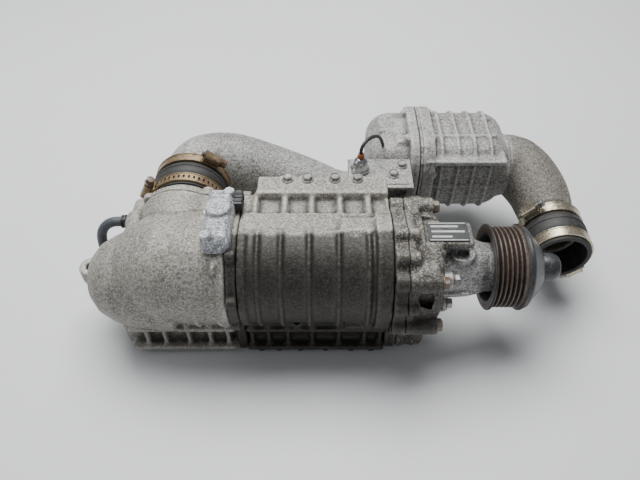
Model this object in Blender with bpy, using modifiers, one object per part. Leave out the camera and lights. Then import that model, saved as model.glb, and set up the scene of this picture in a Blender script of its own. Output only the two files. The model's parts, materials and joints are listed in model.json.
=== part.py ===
"""Twin-rotor supercharger with its intake silencer, ducts, drive pulley and air flap actuator.

Metres, +Z up. The drive shaft runs along X with the pulley at +X. In the design frame the drive axis
lies at y = 0, AXIS_HEIGHT above the surface that the outlet flange stands on. An empty carries the
whole assembly, so that the origin is the bottom centre of its box.
"""

from math import acos, cos, pi, radians, sin, tan

import bmesh
import bpy
from mathutils import Matrix, Vector

# ---- driving dimensions -------------------------------------------------------------------------
AXIS_HEIGHT = 0.075          # drive shaft axis above the outlet flange
CENTRES = 0.057              # distance between the two rotor axes
CENTRE_DROP = radians(30)    # how far the driven axis lies below the level of the drive axis
LOBES = 3
ROTOR_TWIST = radians(60)
ROTOR_RELIEF = 0.00045       # taken off each rotor flank
TIP_CLEARANCE = 0.0006       # rotor tip to bore
END_CLEARANCE = 0.0008       # rotor end to wall
HOUSING_LEFT = -0.061
HOUSING_LENGTH = 0.115
HOUSING_WALL = 0.0054
JOINT = 0.0003               # gap between faces that are bolted or pressed together
RUNNING = 0.0002             # radial gap between a turning and a standing piece
END_PLATE = 0.008            # inlet side bearing plate
GEAR_PLATE = 0.010           # gear side bearing plate
COVER_DEPTH = 0.027
COVER_RADIUS = 0.050
COVER_LOBE_RADIUS = 0.0380   # cover round the driven gear
COVER_WALL = 0.005
LABEL_LEVEL = AXIS_HEIGHT + 0.0395   # flat pad for the label on top of the gear cover
FLANGE_GROW = 0.003          # flanges and ring ribs stand this far out of the housing
RIB = 0.0035
FOOT_FRONT = -0.024
FOOT_BACK = 0.090
FOOT_TOP = 0.044
DECK_TOP = AXIS_HEIGHT + 0.042
DECK_BACK = 0.048
RAIL_TOP = AXIS_HEIGHT + 0.046
RAIL_BACK = 0.058
RAIL_BOLTS = [-0.026, -0.010, 0.012, 0.030]
RING_RIBS = [-0.046, -0.029, -0.008, 0.014, 0.036]
LADDER_RIBS = [-0.057, -0.043, -0.027, -0.0065, 0.0156, 0.037, 0.050]
OUTLET_LOW = (-0.042, 0.002)
OUTLET_HIGH = (0.036, 0.066)

GEAR_TEETH = 24
GEAR_WIDTH = 0.010
BACKLASH = 0.0004
SHAFT_RADIUS = 0.0084
STUB_RADIUS = 0.006
BEARING_RADIUS = 0.016
BEARING_WIDTH = 0.0085
NEEDLE_RADIUS = 0.0095

SNOUT_RADIUS = 0.0245
SNOUT_LENGTH = 0.050
SNOUT_TIP_RADIUS = 0.0195
PULLEY_RADIUS = 0.03225
PULLEY_FLANGE = 0.0345
GROOVES = 6
GROOVE_PITCH = 0.00356
GROOVE_DEPTH = 0.0026
PULLEY_OVERLAP = 0.0109      # how far the pulley's open side reaches back over the snout
PULLEY_WEB = 0.006
CONE_LENGTH = 0.0155
CONE_TIP_RADIUS = 0.0185
CAP_RADIUS = 0.0112
CAP_LENGTH = 0.016
SNOUT_BOLTS = [150, 222, 318, 20]                # degrees, counted from +Y towards +Z
NOSE_BEARINGS = {"rear": 0.006, "front": 0.0395}  # distance from the snout's left face

MANIFOLD_LENGTH = 0.107
MANIFOLD_RADIUS = 0.0455
MANIFOLD_WALL = 0.0055
MANIFOLD_LADDER_RIBS = [-0.145, -0.130, -0.110, -0.092, -0.077]
LEFT_BOSS = (-0.151, AXIS_HEIGHT + 0.011)   # x and z of the long boss that the cable gland sits on
LEFT_BOSS_RADIUS = 0.0085
NECK_X = -0.114
NECK_HEIGHT = AXIS_HEIGHT + 0.005
NECK_START = 0.047           # y of the joint between manifold and neck
NECK_RADIUS = 0.031
NECK_FLANGE_RADIUS = 0.036
LEFT_SPIGOT = 0.0267         # outer radius of the two pipe ends inside the left sleeve
PIPE_WALL = 0.0034
FLAP_X = -0.084
FLAP_Y = 0.012
FLAP_HALF_WIDTH = 0.011
FLAP_LOW = AXIS_HEIGHT - 0.023
FLAP_HIGH = AXIS_HEIGHT + 0.029
FLAP_THICKNESS = 0.002
FLAP_PIN = 0.0035

SLEEVE_WALL = 0.0040
LEFT_SLEEVE_START = 0.060
LEFT_SLEEVE_LENGTH = 0.038
RIGHT_SPIGOT = 0.0212
RIGHT_X = 0.205
RIGHT_HEIGHT = AXIS_HEIGHT - 0.018
RIGHT_SLEEVE_START = 0.024
RIGHT_SLEEVE_LENGTH = 0.043
CLAMP_WIDTH = 0.009
CLAMP_BAND = 0.0012

SILENCER_Y = 0.1335
SILENCER_HEIGHT = AXIS_HEIGHT
SILENCER_HALF_Y = 0.038
SILENCER_HALF_Z = 0.036
SILENCER_LEFT = 0.043
SILENCER_RIGHT = 0.172
SILENCER_SPLIT = 0.088
SILENCER_CORNER = 0.022
SILENCER_WALL = 0.0035
SILENCER_FLANGE = 0.006
BAFFLE = 0.002
SILENCER_PORT = (0.1245, AXIS_HEIGHT - 0.0425)   # y and z where the crossover duct meets the left shell
PORT_RADIUS = 0.0262
SHELL_RIBS = [0.1065, 0.1210, 0.1355, 0.1500]
BRACKET_TOP = AXIS_HEIGHT + 0.032
SENSOR = (0.034, 0.080)

CABLE_RADIUS = 0.0042
CABLE_ROUTE = [   # x, y and height above the drive axis
    (-0.1672, 0.0445, 0.0060), (-0.1712, 0.0445, 0.0060), (-0.1752, 0.0444, 0.0053),
    (-0.1790, 0.0441, 0.0036), (-0.1822, 0.0437, 0.0010), (-0.1848, 0.0433, -0.0023),
    (-0.1866, 0.0429, -0.0060), (-0.1878, 0.0425, -0.0100), (-0.1885, 0.0421, -0.0140),
    (-0.1889, 0.0417, -0.0180), (-0.1891, 0.0413, -0.0220), (-0.1892, 0.0409, -0.0260),
    (-0.1892, 0.0405, -0.0300), (-0.1890, 0.0402, -0.0340),
]
SENSOR_LEAD_RADIUS = 0.0015
SENSOR_LEAD_ROUTE = [   # x, y and height above the drive axis
    (0.0340, 0.0800, 0.0503), (0.0341, 0.0805, 0.0540), (0.0358, 0.0830, 0.0570),
    (0.0390, 0.0870, 0.0583), (0.0430, 0.0920, 0.0575), (0.0470, 0.0975, 0.0545),
    (0.0505, 0.1030, 0.0495), (0.0535, 0.1080, 0.0430), (0.0555, 0.1112, 0.0365),
]

# These castings have many lumps that end in one plane, which the exact solver leaves open.
FLUSH_CASTINGS = {"rotor_housing", "inlet_manifold", "inlet_end_plate", "bearing_plate",
                  "gear_cover"}
LARGE_ROUND = 32             # sides of the large round castings
MEDIUM_ROUND = 24
SMALL_ROUND = 20
BOSS_ROUND = 12
HOLE_ROUND = 8

# ---- values that follow --------------------------------------------------------------------------
PITCH_RADIUS = CENTRES / 2
ROTOR_TIP = PITCH_RADIUS * 4 / 3
BORE = ROTOR_TIP + TIP_CLEARANCE
HOUSING_RADIUS = BORE + HOUSING_WALL
DRIVE = (0.0, AXIS_HEIGHT)
DRIVEN = (CENTRES * cos(CENTRE_DROP), AXIS_HEIGHT - CENTRES * sin(CENTRE_DROP))
HOUSING_RIGHT = HOUSING_LEFT + HOUSING_LENGTH
END_PLATE_RIGHT = HOUSING_LEFT - JOINT
END_PLATE_LEFT = END_PLATE_RIGHT - END_PLATE
MANIFOLD_RIGHT = END_PLATE_LEFT - JOINT
MANIFOLD_LEFT = MANIFOLD_RIGHT - MANIFOLD_LENGTH
GEAR_PLATE_LEFT = HOUSING_RIGHT + JOINT
GEAR_PLATE_RIGHT = GEAR_PLATE_LEFT + GEAR_PLATE
COVER_LEFT = GEAR_PLATE_RIGHT + JOINT
COVER_RIGHT = COVER_LEFT + COVER_DEPTH
GEAR_LEFT = COVER_LEFT + 0.0025
SNOUT_LEFT = COVER_RIGHT + JOINT
SNOUT_RIGHT = SNOUT_LEFT + SNOUT_LENGTH
PULLEY_START = SNOUT_RIGHT - PULLEY_OVERLAP
PULLEY_END = PULLEY_START + (GROOVES + 1.6) * GROOVE_PITCH
LEFT_SLEEVE_END = LEFT_SLEEVE_START + LEFT_SLEEVE_LENGTH
RIGHT_SLEEVE_END = RIGHT_SLEEVE_START + RIGHT_SLEEVE_LENGTH
# Each cover bolt has the axis it is set out from, its distance and its angle in degrees.
COVER_BOLTS = [(DRIVE, 0.0485, 55), (DRIVE, 0.0485, 143), (DRIVE, 0.0485, 195), (DRIVE, 0.0485, 243),
               (DRIVEN, 0.0370, 60), (DRIVEN, 0.0370, -62)]


# ---- modelling helpers ----------------------------------------------------------------------------
def above(height):
    """A height that is counted from the drive axis."""
    return AXIS_HEIGHT + height


def raised(route):
    return [(x, y, above(height)) for x, y, height in route]


def new_collection(name):
    collection = bpy.data.collections.new(name)
    bpy.context.scene.collection.children.link(collection)
    return collection


def clear_scene():
    for obj in list(bpy.data.objects):
        bpy.data.objects.remove(obj, do_unlink=True)


clear_scene()
PARTS = new_collection("supercharger")
CUTTERS = new_collection("cutters")


def new_empty(name, location, parent=None):
    empty = bpy.data.objects.new(name, None)
    empty.empty_display_size = 0.02
    empty.location = location
    empty.parent = parent
    PARTS.objects.link(empty)
    return empty


FRAME = new_empty("supercharger_frame", (0, 0, 0))
DRIVE_AXIS = new_empty("drive_axis", (0, *DRIVE), FRAME)
DRIVEN_AXIS = new_empty("driven_axis", (0, *DRIVEN), FRAME)
FLAP_AXIS = new_empty("flap_axis", (FLAP_X, FLAP_Y, 0), FRAME)


def material(name, colour, roughness, metallic=0.0):
    mat = bpy.data.materials.new(name)
    mat.use_nodes = True
    shader = mat.node_tree.nodes["Principled BSDF"]
    shader.inputs["Base Color"].default_value = (*colour, 1.0)
    shader.inputs["Roughness"].default_value = roughness
    shader.inputs["Metallic"].default_value = metallic
    mat.diffuse_color = (*colour, 1.0)
    return mat


CAST_LIGHT = material("cast_aluminium_light", (0.50, 0.49, 0.46), 0.6, 0.6)
CAST_OILY = material("cast_aluminium_oily", (0.30, 0.29, 0.27), 0.5, 0.6)
CAST_WHITE = material("cast_aluminium_weathered", (0.55, 0.56, 0.56), 0.7, 0.4)
CAST_BRIGHT = material("cast_aluminium_bright", (0.60, 0.60, 0.58), 0.45, 0.8)
STEEL = material("bearing_steel", (0.60, 0.60, 0.62), 0.25, 1.0)
ROTOR_ALLOY = material("rotor_alloy", (0.66, 0.66, 0.66), 0.35, 0.9)
BLACK_PAINT = material("pulley_black", (0.05, 0.055, 0.06), 0.4, 0.5)
RUBBER = material("sleeve_rubber", (0.05, 0.05, 0.05), 0.7)
ZINC = material("clamp_zinc", (0.62, 0.56, 0.45), 0.35, 0.9)
RUSTY = material("clamp_rusty", (0.40, 0.24, 0.12), 0.55, 0.6)
BOLT_STEEL = material("bolt_steel", (0.42, 0.40, 0.37), 0.45, 0.9)
PLASTIC = material("black_plastic", (0.06, 0.06, 0.06), 0.5)
GREY_SLEEVING = material("cable_sleeving", (0.16, 0.19, 0.22), 0.6)
LABEL = material("label_aluminium", (0.68, 0.67, 0.63), 0.45, 0.5)
BRASS = material("bush_brass", (0.62, 0.47, 0.22), 0.35, 0.9)


def new_object(name, mesh, mat=None, parent=FRAME):
    """A part when it has a material, otherwise a cutter or a lump that is joined to a part."""
    obj = bpy.data.objects.new(name, mesh)
    obj.parent = parent
    if mat:
        obj.data.materials.append(mat)
        PARTS.objects.link(obj)
    else:
        obj.display_type = "WIRE"
        obj.hide_render = True
        CUTTERS.objects.link(obj)
    return obj


def mesh_from(name, bm):
    mesh = bpy.data.meshes.new(name)
    bm.to_mesh(mesh)
    bm.free()
    return mesh


def smooth(obj, angle=radians(35)):
    obj.data.shade_smooth()
    obj.data.set_sharp_from_angle(angle=angle)
    return obj


def box(name, low, high, mat=None, parent=FRAME, radius=0.0, segments=2, along=None):
    """A box between two corners. Its edges, or only those along one axis, may be rounded."""
    size = [b - a for a, b in zip(low, high)]
    centre = [(a + b) / 2 for a, b in zip(low, high)]
    bm = bmesh.new()
    bmesh.ops.create_cube(bm, size=1.0, matrix=Matrix.Translation(centre) @ Matrix.Diagonal((*size, 1)))
    if radius:
        edges = [edge for edge in bm.edges if along is None or runs_along(edge, along)]
        bmesh.ops.bevel(bm, geom=edges, offset=radius, segments=segments, affect="EDGES",
                        profile=0.5, material=-1)
    return smooth(new_object(name, mesh_from(name, bm), mat, parent))


def runs_along(edge, axis):
    step = edge.verts[1].co - edge.verts[0].co
    return abs(step["XYZ".index(axis)]) > 0.9 * step.length


def rod(name, axis, centre, radius, low, high, mat=None, parent=FRAME, segments=MEDIUM_ROUND, tip=None):
    """A round bar along an axis, from low to high on it. centre gives the other two coordinates."""
    turn = {"X": Matrix.Rotation(pi / 2, 4, "Y"), "Y": Matrix.Rotation(-pi / 2, 4, "X"),
            "Z": Matrix.Identity(4)}[axis]
    middle = list(centre)
    middle.insert("XYZ".index(axis), (low + high) / 2)
    bm = bmesh.new()
    bmesh.ops.create_cone(bm, cap_ends=True, segments=segments, radius1=radius,
                          radius2=radius if tip is None else tip, depth=high - low,
                          matrix=Matrix.Translation(middle) @ turn)
    return smooth(new_object(name, mesh_from(name, bm), mat, parent))


def turned(name, axis, centre, outer, bore=None, mat=None, parent=FRAME, segments=MEDIUM_ROUND):
    """A turned piece. outer and bore hold (position on the axis, radius), in ascending positions."""
    points = [(radius, position) for position, radius in reversed(outer)]
    if bore:
        points += [(radius, position) for position, radius in bore]
    else:
        points = [(0.0, outer[-1][0])] + points + [(0.0, outer[0][0])]
    bm = bmesh.new()
    verts = [bm.verts.new((radius, 0, position)) for radius, position in points]
    pairs = list(zip(verts, verts[1:]))
    if bore:
        pairs.append((verts[-1], verts[0]))
    for pair in pairs:
        bm.edges.new(pair)
    obj = new_object(name, mesh_from(name, bm), mat, parent)
    location = list(centre)
    location.insert("XYZ".index(axis), 0.0)
    obj.location = location
    obj.rotation_euler = {"X": (0, pi / 2, 0), "Y": (-pi / 2, 0, 0), "Z": (0, 0, 0)}[axis]
    screw = obj.modifiers.new("turn", "SCREW")
    screw.steps = screw.render_steps = segments
    screw.use_merge_vertices = True
    screw.merge_threshold = 0.00001
    screw.use_smooth_shade = False
    return obj



def boolean(target, tool, operation):
    modifier = target.modifiers.new(operation.lower() + "_" + tool.name, "BOOLEAN")
    modifier.operation = operation
    modifier.solver = "MANIFOLD" if target.name in FLUSH_CASTINGS else "EXACT"
    modifier.object = tool


def join(target, *lumps):
    for lump in lumps:
        boolean(target, lump, "UNION")
    return target


def cut(target, *cutters):
    for cutter in cutters:
        boolean(target, cutter, "DIFFERENCE")
    return target


def pipe(name, route, radii, wall, mat, segments=3, steps=2):
    """A hollow pipe along a smooth route, with its own outer radius at each point."""
    curve = bpy.data.curves.new(name, "CURVE")
    curve.dimensions = "3D"
    curve.bevel_depth = 1.0
    curve.bevel_resolution = segments
    curve.resolution_u = steps
    spline = curve.splines.new("BEZIER")
    spline.bezier_points.add(len(route) - 1)
    for point, place, radius in zip(spline.bezier_points, route, radii):
        point.co = place
        point.radius = radius - wall
        point.handle_left_type = point.handle_right_type = "AUTO"
    draft = bpy.data.objects.new(name + "_route", curve)
    CUTTERS.objects.link(draft)
    graph = bpy.context.evaluated_depsgraph_get()
    mesh = bpy.data.meshes.new_from_object(draft.evaluated_get(graph))
    bpy.data.objects.remove(draft)
    obj = smooth(new_object(name, mesh, mat))
    shell = obj.modifiers.new("wall", "SOLIDIFY")
    shell.thickness = wall
    shell.offset = 1.0
    return obj


def cable(name, route, radius, mat):
    curve = bpy.data.curves.new(name, "CURVE")
    curve.dimensions = "3D"
    curve.bevel_depth = radius
    curve.bevel_resolution = 2
    curve.use_fill_caps = True
    spline = curve.splines.new("POLY")
    spline.points.add(len(route) - 1)
    for point, place in zip(spline.points, route):
        point.co = (*place, 1)
    return new_object(name, curve, mat)


def bolt(name, axis, centre, seat, grip, head=0.0052, shank=0.003, tall=0.005):
    """A flanged hexagon bolt whose head stands on seat and whose shank runs grip below it."""
    flange = rod(name, axis, centre, head * 1.15, seat + JOINT, seat + JOINT + tall * 0.3,
                 BOLT_STEEL, segments=BOSS_ROUND)
    return join(flange,
                rod(name + "_hexagon", axis, centre, head, seat + JOINT + tall * 0.1, seat + tall,
                    segments=6),
                rod(name + "_shank", axis, centre, shank, seat - grip, seat + tall * 0.3, segments=HOLE_ROUND))


def bolt_hole(name, axis, centre, seat, grip, shank=0.003):
    return rod(name, axis, centre, shank + JOINT, seat - grip - 0.001, seat + 0.002, segments=HOLE_ROUND)


def polar(centre, radius, angle):
    """A point in the YZ plane, its angle counted from +Y towards +Z."""
    return (centre[0] + radius * cos(radians(angle)), centre[1] + radius * sin(radians(angle)))


# ---- rotors ----------------------------------------------------------------------------------------
def lobe_profile(points_per_arc=7):
    """Half-epicycloid and half-hypocycloid lobes that roll on each other, as (radius, angle)."""
    roller = PITCH_RADIUS / (2 * LOBES)
    outline = []
    for lobe in range(LOBES):
        for kind in (1, -1):
            first = 2 * pi * lobe / LOBES + (0 if kind > 0 else pi / LOBES)
            for step in range(points_per_arc):
                turn = pi / LOBES * step / points_per_arc
                spin = (PITCH_RADIUS + kind * roller) / roller * turn
                along = (PITCH_RADIUS + kind * roller) * cos(turn) - kind * roller * cos(spin)
                across = (PITCH_RADIUS + kind * roller) * sin(turn) - roller * sin(spin)
                outline.append(Vector((along, across)) @ Matrix.Rotation(-first, 2))
    shifted = []
    for index, point in enumerate(outline):
        before, after = outline[index - 1], outline[(index + 1) % len(outline)]
        run = (after - before).normalized()
        shifted.append(point - Vector((run.y, -run.x)) * ROTOR_RELIEF)
    return shifted


def rotor(name, parent, lobe_angle, twist, shaft_right, sections=9):
    """lobe_angle points one lobe's crest at the left end; the shaft ends carry the bearings."""
    left = HOUSING_LEFT + END_CLEARANCE
    length = HOUSING_LENGTH - 2 * END_CLEARANCE
    profile = lobe_profile()
    bm = bmesh.new()
    rings = []
    for section in range(sections):
        share = section / (sections - 1)
        turn = Matrix.Rotation(lobe_angle - pi / (2 * LOBES) + twist * share, 2)
        spots = [turn @ point for point in profile]
        rings.append([bm.verts.new((left + length * share, spot.x, spot.y)) for spot in spots])
    for ring, following in zip(rings, rings[1:]):
        for index in range(len(ring)):
            near = (index + 1) % len(ring)
            bm.faces.new((ring[index], ring[near], following[near], following[index]))
    bm.faces.new(reversed(rings[0]))
    bm.faces.new(rings[-1])
    bmesh.ops.recalc_face_normals(bm, faces=bm.faces)
    body = smooth(new_object(name, mesh_from(name, bm), ROTOR_ALLOY, parent))
    shaft = rod(name + "_shaft", "X", (0, 0), SHAFT_RADIUS, left + length - 0.004, shaft_right,
                parent=parent, segments=SMALL_ROUND)
    stub = rod(name + "_stub", "X", (0, 0), STUB_RADIUS, END_PLATE_LEFT + 0.002, left + 0.004,
               parent=parent, segments=SMALL_ROUND)
    return join(body, shaft, stub)


# ---- timing gears ----------------------------------------------------------------------------------
def gear_outline(first_tooth):
    pressure = radians(20)
    base = PITCH_RADIUS * cos(pressure)
    module = CENTRES / GEAR_TEETH
    tip, root = PITCH_RADIUS + 0.9 * module, PITCH_RADIUS - 1.15 * module
    half = pi / (2 * GEAR_TEETH) - BACKLASH / (2 * PITCH_RADIUS) + tan(pressure) - pressure

    def flank(radius):
        slope = acos(min(1.0, base / radius))
        return half - (tan(slope) - slope)

    heights = [root, (base + tip) / 2, tip]
    outline = []
    for tooth in range(GEAR_TEETH):
        middle = first_tooth + 2 * pi * tooth / GEAR_TEETH
        rising = [(radius, middle - flank(radius)) for radius in heights]
        falling = [(radius, middle + flank(radius)) for radius in reversed(heights)]
        outline += [(radius * cos(angle), radius * sin(angle)) for radius, angle in rising + falling]
    return outline


def gear(name, parent, first_tooth):
    """A spur gear on the X axis. first_tooth is counted from +Y towards +Z."""
    curve = bpy.data.curves.new(name, "CURVE")
    curve.dimensions = "2D"
    curve.fill_mode = "BOTH"
    curve.extrude = GEAR_WIDTH / 2
    bore = SHAFT_RADIUS + JOINT
    hole = [(bore * cos(2 * pi * step / 24), bore * sin(2 * pi * step / 24)) for step in range(24)]
    for loop in (gear_outline(first_tooth + pi / 2), hole):
        spline = curve.splines.new("POLY")
        spline.points.add(len(loop) - 1)
        for point, (x, y) in zip(spline.points, loop):
            point.co = (x, y, 0, 1)
        spline.use_cyclic_u = True
    obj = new_object(name, curve, STEEL, parent)
    obj.location = (GEAR_LEFT + GEAR_WIDTH / 2, 0, 0)
    obj.rotation_euler = (0, pi / 2, 0)
    return obj


# ---- bearings ---------------------------------------------------------------------------------------
def bearing(prefix, centre, left, mat=STEEL, axis_parent=DRIVE_AXIS, balls=0):
    """A ball bearing: outer race on the casting, inner race on the shaft, balls in a cage."""
    right = left + BEARING_WIDTH
    bore = SHAFT_RADIUS + JOINT
    race = (BEARING_RADIUS - bore) * 0.28
    rod_like = [(left, BEARING_RADIUS), (right, BEARING_RADIUS)]
    inside = [(left, BEARING_RADIUS - race), (right, BEARING_RADIUS - race)]
    turned(prefix + "_outer_race", "X", centre, rod_like, inside, mat, segments=SMALL_ROUND)
    turned(prefix + "_inner_race", "X", (0, 0), [(left, bore + race), (right, bore + race)],
           [(left, bore), (right, bore)], mat, axis_parent, segments=SMALL_ROUND)
    if balls:
        middle = (BEARING_RADIUS + bore) / 2
        centre_x = (left + right) / 2
        cage = turned(prefix + "_balls", "X", (0, 0),
                      [(centre_x - 0.0008, middle + 0.0006), (centre_x + 0.0008, middle + 0.0006)],
                      [(centre_x - 0.0008, middle - 0.0006), (centre_x + 0.0008, middle - 0.0006)],
                      mat, axis_parent, segments=balls * 2)
        join(cage, ball_ring(prefix, centre_x, middle, race, balls, axis_parent))


def ball_ring(prefix, centre_x, middle, race, balls, parent):
    radius = (BEARING_RADIUS - SHAFT_RADIUS - JOINT) / 2 - race - RUNNING
    bm = bmesh.new()
    for number in range(balls):
        angle = 2 * pi * number / balls
        place = Matrix.Translation((centre_x, middle * cos(angle), middle * sin(angle)))
        bmesh.ops.create_icosphere(bm, subdivisions=1, radius=radius, matrix=place)
    return new_object(prefix + "_ball_set", mesh_from(prefix + "_ball_set", bm), None, parent)


# ---- rotor housing ------------------------------------------------------------------------------------
def two_lobes(name, low, high, drive_radius, driven_radius, mat=None, segments=LARGE_ROUND):
    """A bar whose section is the drive circle and the driven circle joined."""
    body = rod(name, "X", DRIVE, drive_radius, low, high, mat, segments=segments)
    return join(body, rod(name + "_driven", "X", DRIVEN, driven_radius, low, high, segments=segments))


def ladder(name, left, right, ribs):
    """Rails and ribs down the front of the foot, as lumps that are joined to a casting."""
    lumps = [
        box(name + "_upper_rail", (left, -0.031, 0.0275), (right, FOOT_FRONT + 0.004, 0.0315)),
        box(name + "_lower_rail", (left, -0.034, 0.0050), (right, FOOT_FRONT + 0.004, 0.0090)),
    ]
    for number, rib in enumerate(ribs):
        lumps.append(box(f"{name}_rib_{number}", (rib - RIB / 2, -0.0300, 0.001),
                         (rib + RIB / 2, FOOT_FRONT + 0.006, 0.034)))
    return lumps


def rotor_housing():
    left, right = HOUSING_LEFT, HOUSING_RIGHT
    body = two_lobes("rotor_housing", left, right, HOUSING_RADIUS, HOUSING_RADIUS, CAST_OILY)
    foot = box("housing_foot", (left, FOOT_FRONT, 0), (right, FOOT_BACK, FOOT_TOP))
    deck = box("housing_deck", (left, 0.004, above(0.005)), (right, DECK_BACK, DECK_TOP))
    rail = box("housing_rail", (left + 0.013, DECK_BACK - 0.002, above(0.009)),
               (right, RAIL_BACK, RAIL_TOP))
    join(body, foot, deck, rail, *ladder("housing_ladder", left, right, LADDER_RIBS))
    for number, rib in enumerate(RING_RIBS):
        ring = rod(f"ring_rib_{number}", "X", DRIVE, HOUSING_RADIUS + FLANGE_GROW, rib - RIB / 2,
                   rib + RIB / 2, segments=LARGE_ROUND)
        cut(ring, box(f"ring_rib_back_{number}", (rib - RIB, 0.002, -0.02), (rib + RIB, 0.08, 0.2)))
        join(body, ring)
    flange = rod("gear_end_flange", "X", DRIVE, COVER_RADIUS - 0.001, right - 0.012, right - JOINT,
                 segments=LARGE_ROUND)
    join(body, flange)
    for number, (low, high) in enumerate(zip([-0.052] + RING_RIBS[1:], RING_RIBS[1:] + [0.052])):
        pocket = box(f"deck_pocket_{number}", (low + RIB, 0.022, DECK_TOP - 0.010), (high - RIB, 0.043, DECK_TOP + 0.013))
        cut(body, pocket)
    cut(body, bores("housing_bores", left - 0.005, right + 0.005))
    cut(body, box("outlet_port", (OUTLET_LOW[0], OUTLET_LOW[1], -0.01),
                  (OUTLET_HIGH[0], OUTLET_HIGH[1], 0.045), radius=0.008, along="Z"))
    for number, x in enumerate(RAIL_BOLTS):
        cut(body, bolt_hole(f"rail_hole_{number}", "Z", (x, 0.053), RAIL_TOP, 0.010))
    return body


def bores(name, low, high):
    return two_lobes(name, low, high, BORE, BORE, segments=LARGE_ROUND)


def inlet_end_plate():
    left, right = END_PLATE_LEFT, END_PLATE_RIGHT
    plate = two_lobes("inlet_end_plate", left, right, HOUSING_RADIUS + 0.002, HOUSING_RADIUS, CAST_LIGHT)
    join(plate, box("end_plate_foot", (left, FOOT_FRONT - 0.006, 0), (right, FOOT_BACK, FOOT_TOP)))
    for label, axis in (("drive", DRIVE), ("driven", DRIVEN)):
        cut(plate, rod(f"{label}_needle_seat", "X", axis, NEEDLE_RADIUS + JOINT, left - 0.001,
                       right + 0.001, segments=SMALL_ROUND))
        turned(f"{label}_rear_bearing", "X", axis, [(left, NEEDLE_RADIUS), (right, NEEDLE_RADIUS)],
               [(left, STUB_RADIUS + RUNNING), (right, STUB_RADIUS + RUNNING)], STEEL, segments=SMALL_ROUND)
    return cut(plate, box("upper_inlet_port", (left - 0.001, -0.010, above(0.013)),
                          (right + 0.001, 0.028, above(0.031)), radius=0.006, along="X"),
               box("lower_inlet_port", (left - 0.001, 0.060, above(-0.015)),
                   (right + 0.001, 0.078, above(-0.001)), radius=0.005, along="X"))


def bearing_plate():
    left, right = GEAR_PLATE_LEFT, GEAR_PLATE_RIGHT
    plate = two_lobes("bearing_plate", left, right, COVER_RADIUS, HOUSING_RADIUS - 0.001, CAST_LIGHT)
    join(plate, box("bearing_plate_foot", (left, FOOT_FRONT - 0.004, 0), (right, 0.060, FOOT_TOP)))
    seat = left + 0.0012
    for label, axis, parent in (("drive", DRIVE, DRIVE_AXIS), ("driven", DRIVEN, DRIVEN_AXIS)):
        cut(plate, rod(f"{label}_front_seat", "X", axis, BEARING_RADIUS + JOINT, seat, right + 0.001,
                       segments=SMALL_ROUND))
        cut(plate, rod(f"{label}_shaft_hole", "X", axis, SHAFT_RADIUS + 0.002, left - 0.001,
                       right + 0.001, segments=SMALL_ROUND))
        bearing(f"{label}_front_bearing", axis, right - BEARING_WIDTH, axis_parent=parent)
    for number, (axis, radius, angle) in enumerate(COVER_BOLTS):
        spot = polar(axis, radius, angle)
        join(plate, rod(f"plate_boss_{number}", "X", spot, 0.0075, left, right, segments=BOSS_ROUND))
        cut(plate, rod(f"plate_hole_{number}", "X", spot, 0.0033, left - 0.001, right + 0.001,
                       segments=HOLE_ROUND))
    return plate


def gear_cover():
    left, right = COVER_LEFT, COVER_RIGHT
    cover = two_lobes("gear_cover", left, right, COVER_RADIUS - 0.001, COVER_LOBE_RADIUS, CAST_LIGHT)
    join(cover,
         box("cover_foot", (left, FOOT_FRONT - 0.002, 0), (right - 0.004, 0.040, 0.040)),
         box("label_pad", (left + 0.013, -0.011, above(0.0253)), (left + 0.0505, 0.013, LABEL_LEVEL),
             radius=0.004, along="Z"),
         box("front_block", (left + 0.004, -0.040, above(0.025)), (left + 0.022, -0.026, above(0.038)),
             radius=0.003),
         rod("dowel_boss", "X", (-0.034, above(-0.031)), 0.008, left, right + 0.002, segments=BOSS_ROUND))
    for number, (axis, radius, angle) in enumerate(COVER_BOLTS):
        spot = polar(axis, radius, angle)
        seat = right - 0.004
        join(cover, rod(f"cover_boss_{number}", "X", spot, 0.0072, left, seat, segments=BOSS_ROUND))
        cut(cover, bolt_hole(f"cover_hole_{number}", "X", spot, seat, 0.027),
            rod(f"cover_seat_{number}", "X", spot, 0.0068, seat, right + 0.002, segments=BOSS_ROUND))
        if axis == DRIVE:
            bolt(f"cover_bolt_{number + 1}", "X", spot, seat, 0.027)
    notch = box("label_notch", (left + 0.0125, -0.012, LABEL_LEVEL), (right + 0.002, 0.0135, above(0.055)))
    chamber = two_lobes("gear_chamber", left - 0.001, right - COVER_WALL, BORE - 0.004,
                        COVER_LOBE_RADIUS - COVER_WALL)
    shaft_hole = rod("cover_shaft_hole", "X", DRIVE, 0.013, right - 0.02, right + 0.002, segments=SMALL_ROUND)
    return cut(cover, notch, chamber, shaft_hole)


def label_plate():
    low = LABEL_LEVEL + JOINT
    return box("label_plate", (COVER_LEFT + 0.016, -0.0085, low), (COVER_LEFT + 0.0465, 0.0105, low + 0.0008),
               LABEL, radius=0.0015, along="Z")


# ---- drive end -----------------------------------------------------------------------------------------

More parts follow.
